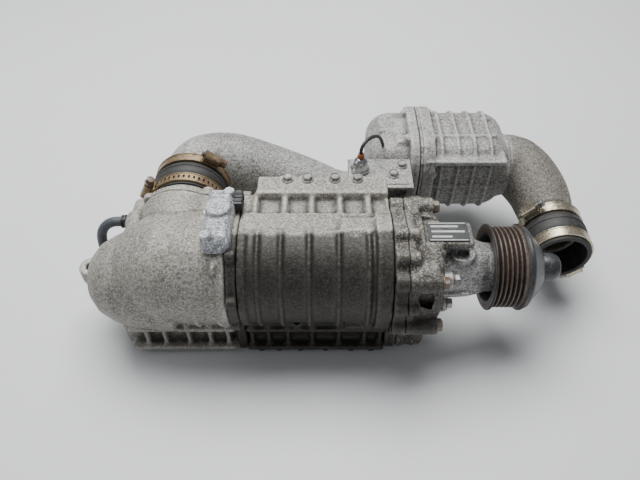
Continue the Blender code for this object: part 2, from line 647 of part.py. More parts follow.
def drive_snout():
    left, right = SNOUT_LEFT, SNOUT_RIGHT
    body = turned("drive_snout", "X", DRIVE,
                  [(left, SNOUT_RADIUS), (left + 0.022, SNOUT_RADIUS - 0.0005),
                   (left + 0.034, SNOUT_RADIUS - 0.003), (left + 0.038, SNOUT_TIP_RADIUS),
                   (right, SNOUT_TIP_RADIUS)],
                  [(left, BEARING_RADIUS + JOINT), (right, BEARING_RADIUS + JOINT)], CAST_BRIGHT)
    for number, angle in enumerate(SNOUT_BOLTS):
        spot = polar(DRIVE, 0.0290, angle)
        join(body, rod(f"snout_ear_{number}", "X", spot, 0.0068, left, left + 0.008, segments=BOSS_ROUND))
        cut(body, bolt_hole(f"snout_hole_{number}", "X", spot, left + 0.008, 0.007))
    ear = box("snout_ear_plate", (left + 0.009, -0.017, above(0.0175)), (left + 0.028, 0.002, above(0.0248)),
              radius=0.004, along="Z")
    slot = box("snout_ear_slot", (left + 0.0130, -0.0110, above(0.0195)),
               (left + 0.024, -0.0050, above(0.030)),
               radius=0.0028, along="Z")
    return cut(join(body, ear), slot)


def nose_parts():
    shaft_left = COVER_RIGHT - 0.009
    rod("nose_shaft", "X", (0, 0), SHAFT_RADIUS, shaft_left, PULLEY_END + CONE_LENGTH - 0.002, STEEL,
        DRIVE_AXIS, segments=SMALL_ROUND)
    for place, offset in NOSE_BEARINGS.items():
        bearing(f"nose_{place}_bearing", DRIVE, SNOUT_LEFT + offset, balls=7)
    seal_left = SNOUT_LEFT + 0.016
    turned("shaft_seal", "X", DRIVE,
           [(seal_left, BEARING_RADIUS), (seal_left + 0.006, BEARING_RADIUS)],
           [(seal_left, SHAFT_RADIUS + RUNNING), (seal_left + 0.0012, SHAFT_RADIUS + RUNNING),
            (seal_left + 0.0012, BEARING_RADIUS - 0.0025), (seal_left + 0.006, BEARING_RADIUS - 0.0025)],
           RUBBER, segments=SMALL_ROUND)
    gear_right = GEAR_LEFT + GEAR_WIDTH
    turned("torsion_coupling", "X", (0, 0),
           [(gear_right + JOINT, 0.012), (shaft_left - JOINT, 0.012)], None, BRASS, DRIVE_AXIS, 24)


def pulley():
    outer = [(PULLEY_START, PULLEY_FLANGE - 0.001), (PULLEY_START + 0.0006, PULLEY_FLANGE),
             (PULLEY_START + 0.0020, PULLEY_FLANGE)]
    groove_start = PULLEY_START + 0.6 * GROOVE_PITCH
    for groove in range(GROOVES):
        start = groove_start + groove * GROOVE_PITCH
        outer += [(start + 0.08 * GROOVE_PITCH, PULLEY_RADIUS),
                  (start + 0.50 * GROOVE_PITCH, PULLEY_RADIUS - GROOVE_DEPTH),
                  (start + 0.92 * GROOVE_PITCH, PULLEY_RADIUS)]
    outer += [(PULLEY_END - 0.0022, PULLEY_FLANGE), (PULLEY_END - 0.0004, PULLEY_FLANGE),
              (PULLEY_END, PULLEY_FLANGE - 0.001)]
    bore = SHAFT_RADIUS + JOINT
    rim = PULLEY_RADIUS - GROOVE_DEPTH - 0.003
    web = PULLEY_END - PULLEY_WEB
    inside = [(PULLEY_START, rim), (web, rim - 0.001), (web, bore), (PULLEY_END, bore)]
    turned("pulley", "X", (0, 0), outer, inside, BLACK_PAINT, DRIVE_AXIS, segments=MEDIUM_ROUND)
    start = PULLEY_END + JOINT
    end = start + CONE_LENGTH
    turned("pulley_cone", "X", (0, 0),
           [(start, PULLEY_FLANGE - 0.0015), (start + 0.003, PULLEY_FLANGE - 0.002),
            (start + 0.008, PULLEY_FLANGE - 0.0065), (end - 0.002, CONE_TIP_RADIUS + 0.001),
            (end, CONE_TIP_RADIUS - 0.001)],
           [(start, bore), (end, bore)], BLACK_PAINT, DRIVE_AXIS, segments=MEDIUM_ROUND)
    cap = end + JOINT
    turned("pulley_cap", "X", (0, 0),
           [(cap, CAP_RADIUS), (cap + CAP_LENGTH - 0.004, CAP_RADIUS), (cap + CAP_LENGTH - 0.001, 0.0095),
            (cap + CAP_LENGTH, 0.007)],
           None, BLACK_PAINT, DRIVE_AXIS, segments=SMALL_ROUND)


# ---- inlet manifold, neck and air flap -----------------------------------------------------------------
def inlet_manifold():
    left, right = MANIFOLD_LEFT, MANIFOLD_RIGHT
    radius = MANIFOLD_RADIUS
    body = turned("inlet_manifold", "X", DRIVE,
                  [(left, 0.020), (left + 0.004, 0.030), (left + 0.018, 0.0385), (left + 0.045, radius),
                   (right, radius)], None, CAST_LIGHT, segments=LARGE_ROUND)
    end = right - 0.007
    join(body,
         rod("manifold_driven_lobe", "X", DRIVEN, HOUSING_RADIUS, end, right, segments=LARGE_ROUND),
         box("manifold_foot", (left + 0.022, FOOT_FRONT, 0), (right, 0.062, FOOT_TOP - 0.004), radius=0.006,
             along="Z"),
         rod("neck_boss", "Y", (NECK_X, NECK_HEIGHT), NECK_FLANGE_RADIUS, 0.010, NECK_START - JOINT,
             segments=MEDIUM_ROUND),
         rod("left_boss", "Y", LEFT_BOSS, LEFT_BOSS_RADIUS, -0.006, NECK_START - 0.0005, segments=BOSS_ROUND),
         rod("right_boss", "Y", (-0.0885, above(0.021)), 0.0065, 0.010, 0.044, segments=BOSS_ROUND),
         box("ear_arm", (left - 0.024, 0.000, above(-0.029)), (left + 0.020, 0.024, above(-0.013)), radius=0.006,
             along="Z"),
         *ladder("manifold_ladder", left + 0.028, right, MANIFOLD_LADDER_RIBS))
    inner = radius - MANIFOLD_WALL
    cavity = turned("manifold_cavity", "X", DRIVE,
                    [(left + 0.012, 0.020), (left + 0.045, inner), (right + 0.001, inner)], None,
                    segments=MEDIUM_ROUND)
    driven_cavity = rod("manifold_driven_cavity", "X", DRIVEN, HOUSING_RADIUS - 0.011, end + 0.003,
                        right + 0.001, segments=MEDIUM_ROUND)
    throat = rod("manifold_throat", "Y", (NECK_X, NECK_HEIGHT), LEFT_SPIGOT - PIPE_WALL, 0.010, 0.060)
    pin_hole = rod("flap_pin_hole", "Z", (FLAP_X, FLAP_Y), FLAP_PIN + RUNNING, FLAP_LOW - 0.018,
                   FLAP_HIGH + 0.026, segments=SMALL_ROUND)
    ear_hole = rod("ear_hole", "Z", (left - 0.014, 0.012), 0.0042, above(-0.035), above(-0.005),
                   segments=SMALL_ROUND)
    return cut(body, cavity, driven_cavity, throat, pin_hole, ear_hole)


def inlet_neck():
    end = LEFT_SLEEVE_START + 0.019
    bore = LEFT_SPIGOT - PIPE_WALL
    return turned("inlet_neck", "Y", (NECK_X, NECK_HEIGHT),
                  [(NECK_START, NECK_FLANGE_RADIUS), (NECK_START + 0.005, NECK_FLANGE_RADIUS),
                   (NECK_START + 0.0055, NECK_RADIUS), (LEFT_SLEEVE_START - 0.001, NECK_RADIUS),
                   (LEFT_SLEEVE_START - 0.0005, LEFT_SPIGOT), (end, LEFT_SPIGOT)],
                  [(NECK_START, bore), (end, bore)], CAST_WHITE)


def air_flap():
    box("air_flap", (-FLAP_HALF_WIDTH, -FLAP_THICKNESS / 2, FLAP_LOW),
        (FLAP_HALF_WIDTH, FLAP_THICKNESS / 2, FLAP_HIGH), BRASS, FLAP_AXIS)
    shaft = rod("flap_shaft", "Z", (0, 0), FLAP_PIN, FLAP_LOW - 0.0175, FLAP_HIGH + 0.0215, STEEL,
                FLAP_AXIS, segments=SMALL_ROUND)
    half = FLAP_THICKNESS / 2 + JOINT
    cut(shaft, box("flap_slot", (-0.01, -half, FLAP_LOW - JOINT), (0.01, half, FLAP_HIGH + JOINT),
                   parent=FLAP_AXIS))


def actuator():
    left, right = FLAP_X - 0.0085, MANIFOLD_RIGHT - 0.001
    body = box("actuator_body", (left, -0.022, above(0.029)), (right, 0.034, above(0.056)), CAST_WHITE,
               radius=0.004)
    dome = rod("actuator_dome", "Z", (FLAP_X + 0.0035, FLAP_Y - 0.002), 0.0100, above(0.045),
               above(0.060), segments=SMALL_ROUND)
    cut(join(body, dome),
        rod("actuator_saddle", "X", DRIVE, MANIFOLD_RADIUS + JOINT, left - 0.01, right + 0.01,
            segments=LARGE_ROUND),
        rod("actuator_notch", "Y", (NECK_X, NECK_HEIGHT), NECK_FLANGE_RADIUS + 0.0008, 0.005,
            NECK_START + 0.01),
        rod("actuator_bearing", "Z", (FLAP_X, FLAP_Y), FLAP_PIN + RUNNING, above(0.035), above(0.0512),
            segments=SMALL_ROUND))
    socket = box("actuator_connector", (right + JOINT, 0.0180, above(0.0435)),
                 (right + 0.0120, 0.0330, above(0.0525)), PLASTIC, radius=0.0015)
    cut(socket, box("connector_mouth", (right + 0.004, 0.0200, above(0.0453)),
                    (right + 0.014, 0.0310, above(0.0507))))


# ---- ducts, sleeves and clamps -------------------------------------------------------------------------
def crossover_duct():
    start = LEFT_SLEEVE_START + 0.0215
    port_y, port_z = SILENCER_PORT
    route = [(NECK_X, start, NECK_HEIGHT), (NECK_X, start + 0.010, NECK_HEIGHT),
             (NECK_X, start + 0.020, NECK_HEIGHT), (NECK_X + 0.0005, start + 0.025, NECK_HEIGHT),
             (NECK_X + 0.009, start + 0.039, NECK_HEIGHT - 0.002),
             (NECK_X + 0.032, start + 0.050, NECK_HEIGHT - 0.010),
             (NECK_X + 0.065, start + 0.051, NECK_HEIGHT - 0.023),
             (NECK_X + 0.099, port_y + 0.005, port_z + 0.012),
             (SILENCER_LEFT - 0.030, port_y, port_z + 0.002),
             (SILENCER_LEFT - 0.012, port_y, port_z), (SILENCER_LEFT - JOINT, port_y, port_z)]
    spigot = LEFT_SPIGOT
    radii = [spigot, spigot, spigot, 0.0272, 0.0285, 0.0285, 0.0280, 0.0270, PORT_RADIUS, PORT_RADIUS,
             PORT_RADIUS]
    return pipe("crossover_duct", route, radii, PIPE_WALL, CAST_WHITE)


def intake_elbow():
    start = SILENCER_RIGHT + JOINT
    level = SILENCER_HEIGHT - 0.002
    route = [(start, SILENCER_Y, level), (start + 0.006, SILENCER_Y, level),
             (start + 0.013, SILENCER_Y - 0.002, level - 0.001),
             (start + 0.025, SILENCER_Y - 0.011, SILENCER_HEIGHT - 0.008),
             (RIGHT_X - 0.001, SILENCER_Y - 0.029, RIGHT_HEIGHT + 0.005),
             (RIGHT_X, SILENCER_Y - 0.046, RIGHT_HEIGHT)]
    route += [(RIGHT_X, RIGHT_SLEEVE_END + step, RIGHT_HEIGHT) for step in (0.008, 0.002, -0.009, -0.020)]
    spigot = RIGHT_SPIGOT
    radii = [0.0270, 0.0270, 0.0271, 0.0272, 0.0266, 0.0255, 0.0235, spigot, spigot, spigot]
    return pipe("intake_elbow", route, radii, PIPE_WALL, CAST_WHITE)


def sleeve(name, centre, start, length, spigot):
    inner = spigot + JOINT
    outer = inner + SLEEVE_WALL
    end = start + length
    middle = (start + end) / 2
    band = CLAMP_WIDTH + 0.004
    return turned(name, "Y", centre,
                  [(start, outer), (start + band, outer), (middle, outer + 0.0022), (end - band, outer),
                   (end, outer)],
                  [(start, inner), (end, inner)], RUBBER)


def clamp(name, centre, y, inner, screw_angle, mat):
    """A worm-drive band round a sleeve. screw_angle turns its housing about Y, from the top."""
    outer = inner + CLAMP_BAND
    band = turned(name + "_band", "Y", centre, [(y, outer), (y + CLAMP_WIDTH, outer)],
                  [(y, inner), (y + CLAMP_WIDTH, inner)], mat, segments=MEDIUM_ROUND)
    bottom, top = inner + CLAMP_BAND * 0.5, outer + 0.0085
    low, high = y - 0.0005, y + CLAMP_WIDTH + 0.0005
    housing = box(name + "_housing", (-0.0075, low, bottom), (0.0075, high, top), radius=0.0012, segments=1)
    level = outer + 0.0048
    middle = y + CLAMP_WIDTH / 2
    hole = rod(name + "_screw_hole", "X", (middle, level), 0.0026, -0.010, 0.010, segments=HOLE_ROUND)
    screw = rod(name + "_screw", "X", (middle, level), 0.0023, -0.0100, 0.0105, mat, segments=HOLE_ROUND)
    head = rod(name + "_screw_head", "X", (middle, level), 0.0038, 0.0080, 0.0135, segments=6)
    join(screw, head)
    for piece in (housing, hole, screw, head):
        piece.location = (centre[0], 0, centre[1])
        piece.rotation_euler = (0, radians(screw_angle), 0)
    cut(join(band, housing), hole)


def couplings():
    left, right = (NECK_X, NECK_HEIGHT), (RIGHT_X, RIGHT_HEIGHT)
    sleeve("left_sleeve", left, LEFT_SLEEVE_START, LEFT_SLEEVE_LENGTH, LEFT_SPIGOT)
    sleeve("right_sleeve", right, RIGHT_SLEEVE_START, RIGHT_SLEEVE_LENGTH, RIGHT_SPIGOT)
    left_band = LEFT_SPIGOT + SLEEVE_WALL + 2 * JOINT
    right_band = RIGHT_SPIGOT + SLEEVE_WALL + 2 * JOINT
    clamp("left_front_clamp", left, LEFT_SLEEVE_START + 0.002, left_band, -62, RUSTY)
    clamp("left_rear_clamp", left, LEFT_SLEEVE_END - 0.002 - CLAMP_WIDTH, left_band, 35, RUSTY)
    clamp("right_front_clamp", right, RIGHT_SLEEVE_START + 0.003, right_band, 140, ZINC)
    clamp("right_rear_clamp", right, RIGHT_SLEEVE_END - 0.002 - CLAMP_WIDTH, right_band, -48, ZINC)


# ---- intake silencer -----------------------------------------------------------------------------------
def silencer_bar(name, left, right, grow, mat=None, all_edges=False):
    """A bar with the silencer's rounded section, larger by grow all round."""
    low = (left, SILENCER_Y - SILENCER_HALF_Y - grow, SILENCER_HEIGHT - SILENCER_HALF_Z - grow)
    high = (right, SILENCER_Y + SILENCER_HALF_Y + grow, SILENCER_HEIGHT + SILENCER_HALF_Z + grow)
    return box(name, low, high, mat, radius=SILENCER_CORNER + grow, segments=3,
               along=None if all_edges else "X")


def cut_beyond(target, x, side):
    """Cuts a shell off flat at x, on the side given by its sign."""
    reach = x + side * 0.2
    return cut(target, box(f"{target.name}_trim", (min(x, reach), -0.1, -0.1), (max(x, reach), 0.4, 0.4)))


def silencer_left_shell():
    split, wall = SILENCER_SPLIT, SILENCER_WALL
    shell = silencer_bar("silencer_left_shell", SILENCER_LEFT, split + 0.05, 0, CAST_WHITE, all_edges=True)
    port = rod("silencer_port", "X", SILENCER_PORT, PORT_RADIUS + 0.0026, SILENCER_LEFT, split - 0.004,
               segments=MEDIUM_ROUND)
    flange = silencer_bar("left_shell_flange", split - 0.005, split, SILENCER_FLANGE)
    tongue = box("shell_tongue", (0.070, 0.108, above(0.025)), (split - 0.002, 0.150, above(0.0385)),
                 radius=0.003)
    cut_beyond(shell, split, 1)
    join(shell, port, flange, tongue)
    hollow = silencer_bar("left_shell_hollow", SILENCER_LEFT + wall, split + 0.05, -wall, all_edges=True)
    port_hollow = rod("silencer_port_hollow", "X", SILENCER_PORT, PORT_RADIUS - PIPE_WALL,
                      SILENCER_LEFT - 0.001, split - 0.004 - wall, segments=MEDIUM_ROUND)
    return cut(shell, hollow, port_hollow)


def silencer_right_shell():
    left, wall = SILENCER_SPLIT + BAFFLE + 2 * JOINT, SILENCER_WALL
    shell = silencer_bar("silencer_right_shell", left - 0.05, SILENCER_RIGHT, 0, CAST_WHITE, all_edges=True)
    cut_beyond(shell, left, -1)
    join(shell, silencer_bar("right_shell_flange", left, left + 0.005, SILENCER_FLANGE))
    for number, rib in enumerate(SHELL_RIBS):
        join(shell, silencer_bar(f"shell_rib_{number}", rib, rib + RIB, 0.002))
    top = SILENCER_HEIGHT + SILENCER_HALF_Z
    join(shell, box("shell_long_rib", (left + 0.002, SILENCER_Y - 0.014, top - 0.010),
                    (0.1535, SILENCER_Y - 0.011, top + 0.0015)))
    hollow = silencer_bar("right_shell_hollow", left - 0.05, SILENCER_RIGHT - wall, -wall, all_edges=True)
    outlet = rod("elbow_opening", "X", (SILENCER_Y, SILENCER_HEIGHT - 0.002), 0.027 - PIPE_WALL,
                 SILENCER_RIGHT - 0.02, SILENCER_RIGHT + 0.01, segments=MEDIUM_ROUND)
    return cut(shell, hollow, outlet)


def silencer_baffle():
    left = SILENCER_SPLIT + JOINT
    plate = silencer_bar("silencer_baffle", left, left + BAFFLE, SILENCER_FLANGE, BOLT_STEEL)
    for number in range(4):
        spot = polar((SILENCER_Y, SILENCER_HEIGHT), 0.017, 45 + 90 * number)
        cut(plate, rod(f"baffle_hole_{number}", "X", spot, 0.009, left - 0.005, left + 0.010, segments=SMALL_ROUND))
    return plate


def bracket_and_sensor():
    front, back = RAIL_BACK + JOINT, SILENCER_Y - SILENCER_HALF_Y - JOINT
    low, top = BRACKET_TOP - 0.003, BRACKET_TOP
    bracket = box("silencer_bracket", (0.024, front, low), (0.078, back, top), BOLT_STEEL)
    join(bracket, box("bracket_tab", (0.066, back - 0.003, top - 0.037), (0.078, back, top)),
         box("bracket_lip", (0.024, front, top - 0.013), (0.052, RAIL_BACK + 0.003, top)))
    seat = top + JOINT
    turned("sensor_dome", "Z", SENSOR,
           [(seat, 0.0078), (seat + 0.003, 0.0078), (seat + 0.0032, 0.0066), (seat + 0.009, 0.0064),
            (seat + 0.0122, 0.0045), (seat + 0.0135, 0.0022)], None, CAST_BRIGHT, segments=SMALL_ROUND)
    turned("sensor_collar", "Z", SENSOR,
           [(seat + 0.0135 + JOINT, 0.0030), (above(0.050), 0.0026)], None, RUSTY, segments=BOSS_ROUND)
    cable("sensor_lead", raised(SENSOR_LEAD_ROUTE), SENSOR_LEAD_RADIUS, PLASTIC)


def control_cable():
    route = raised(CABLE_ROUTE)
    start_x, y, z = route[0]
    turned("cable_gland", "X", (y, z),
           [(start_x + JOINT, CABLE_RADIUS + 0.0012),
            (LEFT_BOSS[0] - LEFT_BOSS_RADIUS - JOINT, CABLE_RADIUS + 0.0020)], None, PLASTIC,
           segments=SMALL_ROUND)
    cable("control_cable", route, CABLE_RADIUS, GREY_SLEEVING)


# ---- assembly --------------------------------------------------------------------------------------------
def stand_on_origin():
    """Moves the whole assembly so that the origin is the bottom centre of its box."""
    graph = bpy.context.evaluated_depsgraph_get()
    corners = []
    for obj in PARTS.objects:
        if obj.type == "EMPTY":
            continue
        solid = obj.evaluated_get(graph)
        mesh = solid.to_mesh()
        corners += [solid.matrix_world @ vertex.co for vertex in mesh.vertices]
        solid.to_mesh_clear()
    low = [min(corner[axis] for corner in corners) for axis in range(3)]
    high = [max(corner[axis] for corner in corners) for axis in range(3)]
    FRAME.location = (-(low[0] + high[0]) / 2, -(low[1] + high[1]) / 2, -low[2])


def main():
    rotor_housing()
    inlet_end_plate()
    bearing_plate()
    gear_cover()
    label_plate()
    rotor("drive_rotor", DRIVE_AXIS, -CENTRE_DROP, ROTOR_TWIST, GEAR_LEFT + GEAR_WIDTH)
    rotor("driven_rotor", DRIVEN_AXIS, pi - CENTRE_DROP + pi / LOBES, -ROTOR_TWIST, GEAR_LEFT + GEAR_WIDTH)
    gear("drive_gear", DRIVE_AXIS, -CENTRE_DROP)
    gear("driven_gear", DRIVEN_AXIS, pi - CENTRE_DROP + pi / GEAR_TEETH)
    drive_snout()
    nose_parts()
    pulley()
    inlet_manifold()
    inlet_neck()
    air_flap()
    actuator()
    crossover_duct()
    intake_elbow()
    couplings()
    silencer_left_shell()
    silencer_right_shell()
    silencer_baffle()
    bracket_and_sensor()
    control_cable()
    bpy.context.view_layer.update()
    stand_on_origin()


main()
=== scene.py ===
"""Looks of a belt-driven twin-rotor supercharger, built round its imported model.

Lengths are metres. Places are given from the drive axis's foot: x along the drive shaft towards the
pulley, y towards the silencer and z up from the outlet flange. Every piece is moved into the model's
frame when its mesh is made.
"""

import json
from math import cos, pi, radians, sin

import bmesh
import bpy
import numpy as np
from mathutils import Matrix, Vector


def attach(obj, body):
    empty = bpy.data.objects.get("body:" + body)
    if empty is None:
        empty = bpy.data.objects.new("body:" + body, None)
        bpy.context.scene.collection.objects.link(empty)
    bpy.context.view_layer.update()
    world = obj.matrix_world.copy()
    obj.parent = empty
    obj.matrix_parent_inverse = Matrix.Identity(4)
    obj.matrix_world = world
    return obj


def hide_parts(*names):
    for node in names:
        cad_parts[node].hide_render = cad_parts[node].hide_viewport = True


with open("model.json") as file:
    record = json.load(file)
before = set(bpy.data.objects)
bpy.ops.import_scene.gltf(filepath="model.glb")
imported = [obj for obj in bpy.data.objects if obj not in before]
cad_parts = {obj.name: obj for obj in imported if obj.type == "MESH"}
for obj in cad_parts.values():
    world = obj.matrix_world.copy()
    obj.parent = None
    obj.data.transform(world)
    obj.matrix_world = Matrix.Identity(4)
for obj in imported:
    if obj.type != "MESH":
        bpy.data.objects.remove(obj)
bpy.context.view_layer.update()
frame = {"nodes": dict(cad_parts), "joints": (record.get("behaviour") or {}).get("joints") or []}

bl_info = {
    "name": "Twin-Rotor Supercharger",
    "version": (1, 0, 0),
    "blender": (4, 5, 0),
    "location": "View3D > Sidebar > Supercharger",
    "description": "Builds the castings, ducts, clamps, pulley and fasteners of a twin-rotor supercharger",
    "category": "Object",
}

JOINTS = {joint["name"]: joint for joint in frame["joints"]}
DRIVE_FOOT = Vector(JOINTS["drive_spin"]["pos_m"])
AXIS_HEIGHT = DRIVE_FOOT.z
TO_FRAME = Matrix.Translation((DRIVE_FOOT.x, DRIVE_FOOT.y, 0.0))
DRIVE = (0.0, AXIS_HEIGHT)
DRIVEN_SPOT = Vector(JOINTS["driven_spin"]["pos_m"])
DRIVEN = (DRIVEN_SPOT.y - DRIVE_FOOT.y, DRIVEN_SPOT.z)
CASING, DRIVE_LINE = "casing", "drive_line"

# Where each casting starts and ends along X.
HOUSING = (-0.061, 0.054)
END_PLATE = (-0.0693, -0.0613)
MANIFOLD = (-0.1766, -0.0696)
GEAR_PLATE = (0.0543, 0.0643)
COVER = (0.0646, 0.0916)
SNOUT = (0.0919, 0.1419)

BORE = 0.0386
HOUSING_RADIUS = 0.0440
NECK = (-0.114, 0.080)            # x and z of the left coupling's axis
RIGHT_HOSE = (0.205, 0.057)       # x and z of the right coupling's axis
SILENCER = (0.1335, 0.075)        # y and z of its middle
SILENCER_HALF = (0.038, 0.036)
SILENCER_HOLLOW = (0.0345, 0.0325)
SILENCER_FLANGE, SILENCER_WALL = 0.006, 0.0035
SILENCER_CORNER = 0.022
SILENCER_LEFT, SILENCER_RIGHT = 0.043, 0.172
LEFT_SHELL_END, RIGHT_SHELL_START = 0.0878, 0.0906
SHELL_RIBS = [0.1065, 0.1210, 0.1355, 0.1500]
PORT = (0.1245, 0.0325)           # y and z where the duct meets the left shell
OUTLET = (0.1270, 0.0730)         # y and z where the elbow leaves the right shell
# Bolts of the cover, as (axis, radius, angle in degrees), of the snout as angles, of the rail as x.
COVER_BOLTS = [(DRIVE, 0.0485, 55), (DRIVE, 0.0485, 143), (DRIVE, 0.0485, 195), (DRIVE, 0.0485, 243),
               (DRIVEN, 0.0370, 60), (DRIVEN, 0.0370, -62)]
SNOUT_BOLTS = [150, 222, 318, 20]
RAIL_BOLTS = [-0.026, -0.010, 0.012, 0.030]
RING_RIBS = [-0.046, -0.029, -0.008, 0.014, 0.036]
DECK_RIBS = [-0.052, -0.029, -0.008, 0.014, 0.036]
HOUSING_RUNGS = [-0.057, -0.043, -0.027, -0.0065, 0.0156, 0.037, 0.050]
MANIFOLD_RUNGS = [-0.145, -0.130, -0.110, -0.092, -0.077]
CABLE_ROUTE = [
    (-0.1672, 0.0445, 0.0810), (-0.1712, 0.0445, 0.0810), (-0.1752, 0.0444, 0.0803),
    (-0.1790, 0.0441, 0.0786), (-0.1822, 0.0437, 0.0760), (-0.1848, 0.0433, 0.0727),
    (-0.1866, 0.0429, 0.0690), (-0.1878, 0.0425, 0.0650), (-0.1885, 0.0421, 0.0610),
    (-0.1889, 0.0417, 0.0570), (-0.1891, 0.0413, 0.0530), (-0.1892, 0.0409, 0.0490),
    (-0.1892, 0.0405, 0.0450), (-0.1890, 0.0402, 0.0410),
]
CABLE_RADIUS = 0.0042
SENSOR_LEAD_ROUTE = [
    (0.0340, 0.0800, 0.1253), (0.0341, 0.0805, 0.1290), (0.0358, 0.0830, 0.1320),
    (0.0390, 0.0870, 0.1333), (0.0430, 0.0920, 0.1325), (0.0470, 0.0975, 0.1295),
    (0.0505, 0.1030, 0.1245), (0.0535, 0.1085, 0.1165), (0.0558, 0.1125, 0.1080),
]
DUCT_ROUTE = [
    (-0.114, 0.0815, 0.080), (-0.114, 0.0915, 0.080), (-0.114, 0.1015, 0.080),
    (-0.1135, 0.1065, 0.080), (-0.105, 0.1205, 0.078), (-0.082, 0.1315, 0.070),
    (-0.049, 0.1325, 0.057), (-0.015, 0.1295, 0.0445), (0.013, 0.1245, 0.0345),
    (0.031, 0.1245, 0.0325), (0.0427, 0.1245, 0.0325),
]
DUCT_RADII = [0.0267, 0.0267, 0.0267, 0.0272, 0.0285, 0.0285, 0.0280, 0.0270, 0.0262, 0.0262, 0.0262]
ELBOW_ROUTE = [
    (0.1723, 0.1270, 0.0730), (0.1773, 0.1268, 0.0730), (0.1840, 0.1245, 0.0720),
    (0.1930, 0.1150, 0.0690), (0.2010, 0.1000, 0.0640), (0.2045, 0.0860, 0.0590),
    (0.205, 0.075, 0.057), (0.205, 0.069, 0.057), (0.205, 0.058, 0.057), (0.205, 0.047, 0.057),
]
ELBOW_RADII = [0.0284, 0.0282, 0.0278, 0.0272, 0.0262, 0.0250, 0.0232, 0.0212, 0.0212, 0.0212]
PIPE_WALL = 0.0034
SAME_POINT = 1e-7                 # points closer than this are one
PULLEY_START, GROOVE_PITCH, GROOVES = 0.131, 0.00356, 6
SENSOR = (0.034, 0.080)           # x and y
BAND_WIDTH, BAND_WALL = 0.009, 0.0011


# ---- sizes and colours that a user would change --------------------------------------------------
def colour_property(name, description, value):
    return bpy.props.FloatVectorProperty(
        name=name, description=description, subtype="COLOR", size=3, min=0.0, max=1.0, default=value)


class SuperchargerSizes(bpy.types.PropertyGroup):
    """Sizes of the finish, not of the model."""

    casting_grid: bpy.props.FloatProperty(
        name="Casting grid", description="Spacing of the mesh on the large castings", default=0.00125,
        min=0.0008, max=0.004, unit="LENGTH", precision=5)
    fine_grid: bpy.props.FloatProperty(
        name="Fine grid", description="Spacing of the mesh on the small castings", default=0.0009,
        min=0.0006, max=0.003, unit="LENGTH", precision=5)
    camera_height: bpy.props.FloatProperty(
        name="Camera height", description="Height of the camera above the floor", default=0.43417,
        unit="LENGTH")
    camera_back: bpy.props.FloatProperty(
        name="Camera distance", description="How far the camera stands in front of the drive axis",
        default=0.29454, unit="LENGTH")
    camera_tilt: bpy.props.FloatProperty(
        name="Camera tilt", description="Angle of the camera from looking straight down",
        default=radians(42), unit="ROTATION")
    focal_length: bpy.props.FloatProperty(
        name="Focal length", description="Focal length of the lens", default=32.625, unit="CAMERA")


class SuperchargerColours(bpy.types.PropertyGroup):
    """Colours of the finishes."""

    pale_casting: colour_property(
        "Pale casting", "Bare aluminium of the manifold", (0.245, 0.230, 0.198))
    # This colour darkens the front faces of housing, cover and plate: partly oily staining, partly painted
    # shade.
    oily_and_shaded_casting: colour_property(
        "Oily and shaded casting", "Stained aluminium of the rotor housing", (0.036, 0.033, 0.028))
    cover_casting: colour_property(
        "Cover casting", "Aluminium of the gear cover", (0.088, 0.081, 0.067))
    white_casting: colour_property(
        "Weathered casting", "Aluminium of duct and silencer", (0.258, 0.250, 0.232))
    bright_casting: colour_property("Bright casting", "Aluminium of the snout", (0.30, 0.30, 0.29))
    pulley_paint: colour_property("Pulley paint", "Satin paint of the pulley", (0.035, 0.038, 0.040))
    rust: colour_property("Rust", "Rust on clamps and bolts", (0.115, 0.062, 0.034))
    zinc: colour_property("Zinc", "Yellowed zinc of the clamps", (0.50, 0.44, 0.33))
    rubber: colour_property("Rubber", "Rubber of the sleeves", (0.028, 0.027, 0.026))
    floor: colour_property("Floor", "The floor under the object", (0.74, 0.75, 0.76))


def sizes():
    return bpy.context.scene.supercharger_sizes


def colours():
    return bpy.context.scene.supercharger_colours


# ---- shapes: each adds closed lumps to a bmesh ---------------------------------------------------
MILLIMETRES = 1000.0
AXIS_TURN = {"X": Matrix.Rotation(pi / 2, 4, "Y"), "Y": Matrix.Rotation(-pi / 2, 4, "X"),
             "Z": Matrix.Identity(4)}


def on_axis(axis, centre, position):
    spot = list(centre)
    spot.insert("XYZ".index(axis), position)
    return Vector(spot)


def polar(centre, radius, angle):
    """A point in the YZ plane, its angle in degrees counted from +Y towards +Z."""
    return centre[0] + radius * cos(radians(angle)), centre[1] + radius * sin(radians(angle))


def bevelled(bm, verts, radius, segments=3, along=None):
    def picked(edge):
        step = edge.verts[1].co - edge.verts[0].co
        return along is None or abs(step["XYZ".index(along)]) > 0.9 * step.length

    edges = list({edge for vert in verts for edge in vert.link_edges if picked(edge)})
    bmesh.ops.bevel(bm, geom=edges, offset=radius, segments=segments, affect="EDGES", profile=0.5,
                    material=-1, clamp_overlap=True)


def block(bm, low, high, radius=0.0, along=None, segments=3, turn=None):
    """A box between two corners, turned about its middle, with rounded edges."""
    size = [b - a for a, b in zip(low, high)]
    middle = Matrix.Translation([(a + b) / 2 for a, b in zip(low, high)])
    verts = bmesh.ops.create_cube(
        bm, size=1.0, matrix=Matrix.Diagonal((*size, 1)))["verts"]
    before = set(bm.verts) - set(verts)
    if radius:
        bevelled(bm, verts, radius, segments, along)
    bmesh.ops.transform(bm, matrix=middle @ (turn or Matrix.Identity(4)),
                        verts=[vert for vert in bm.verts if vert not in before])


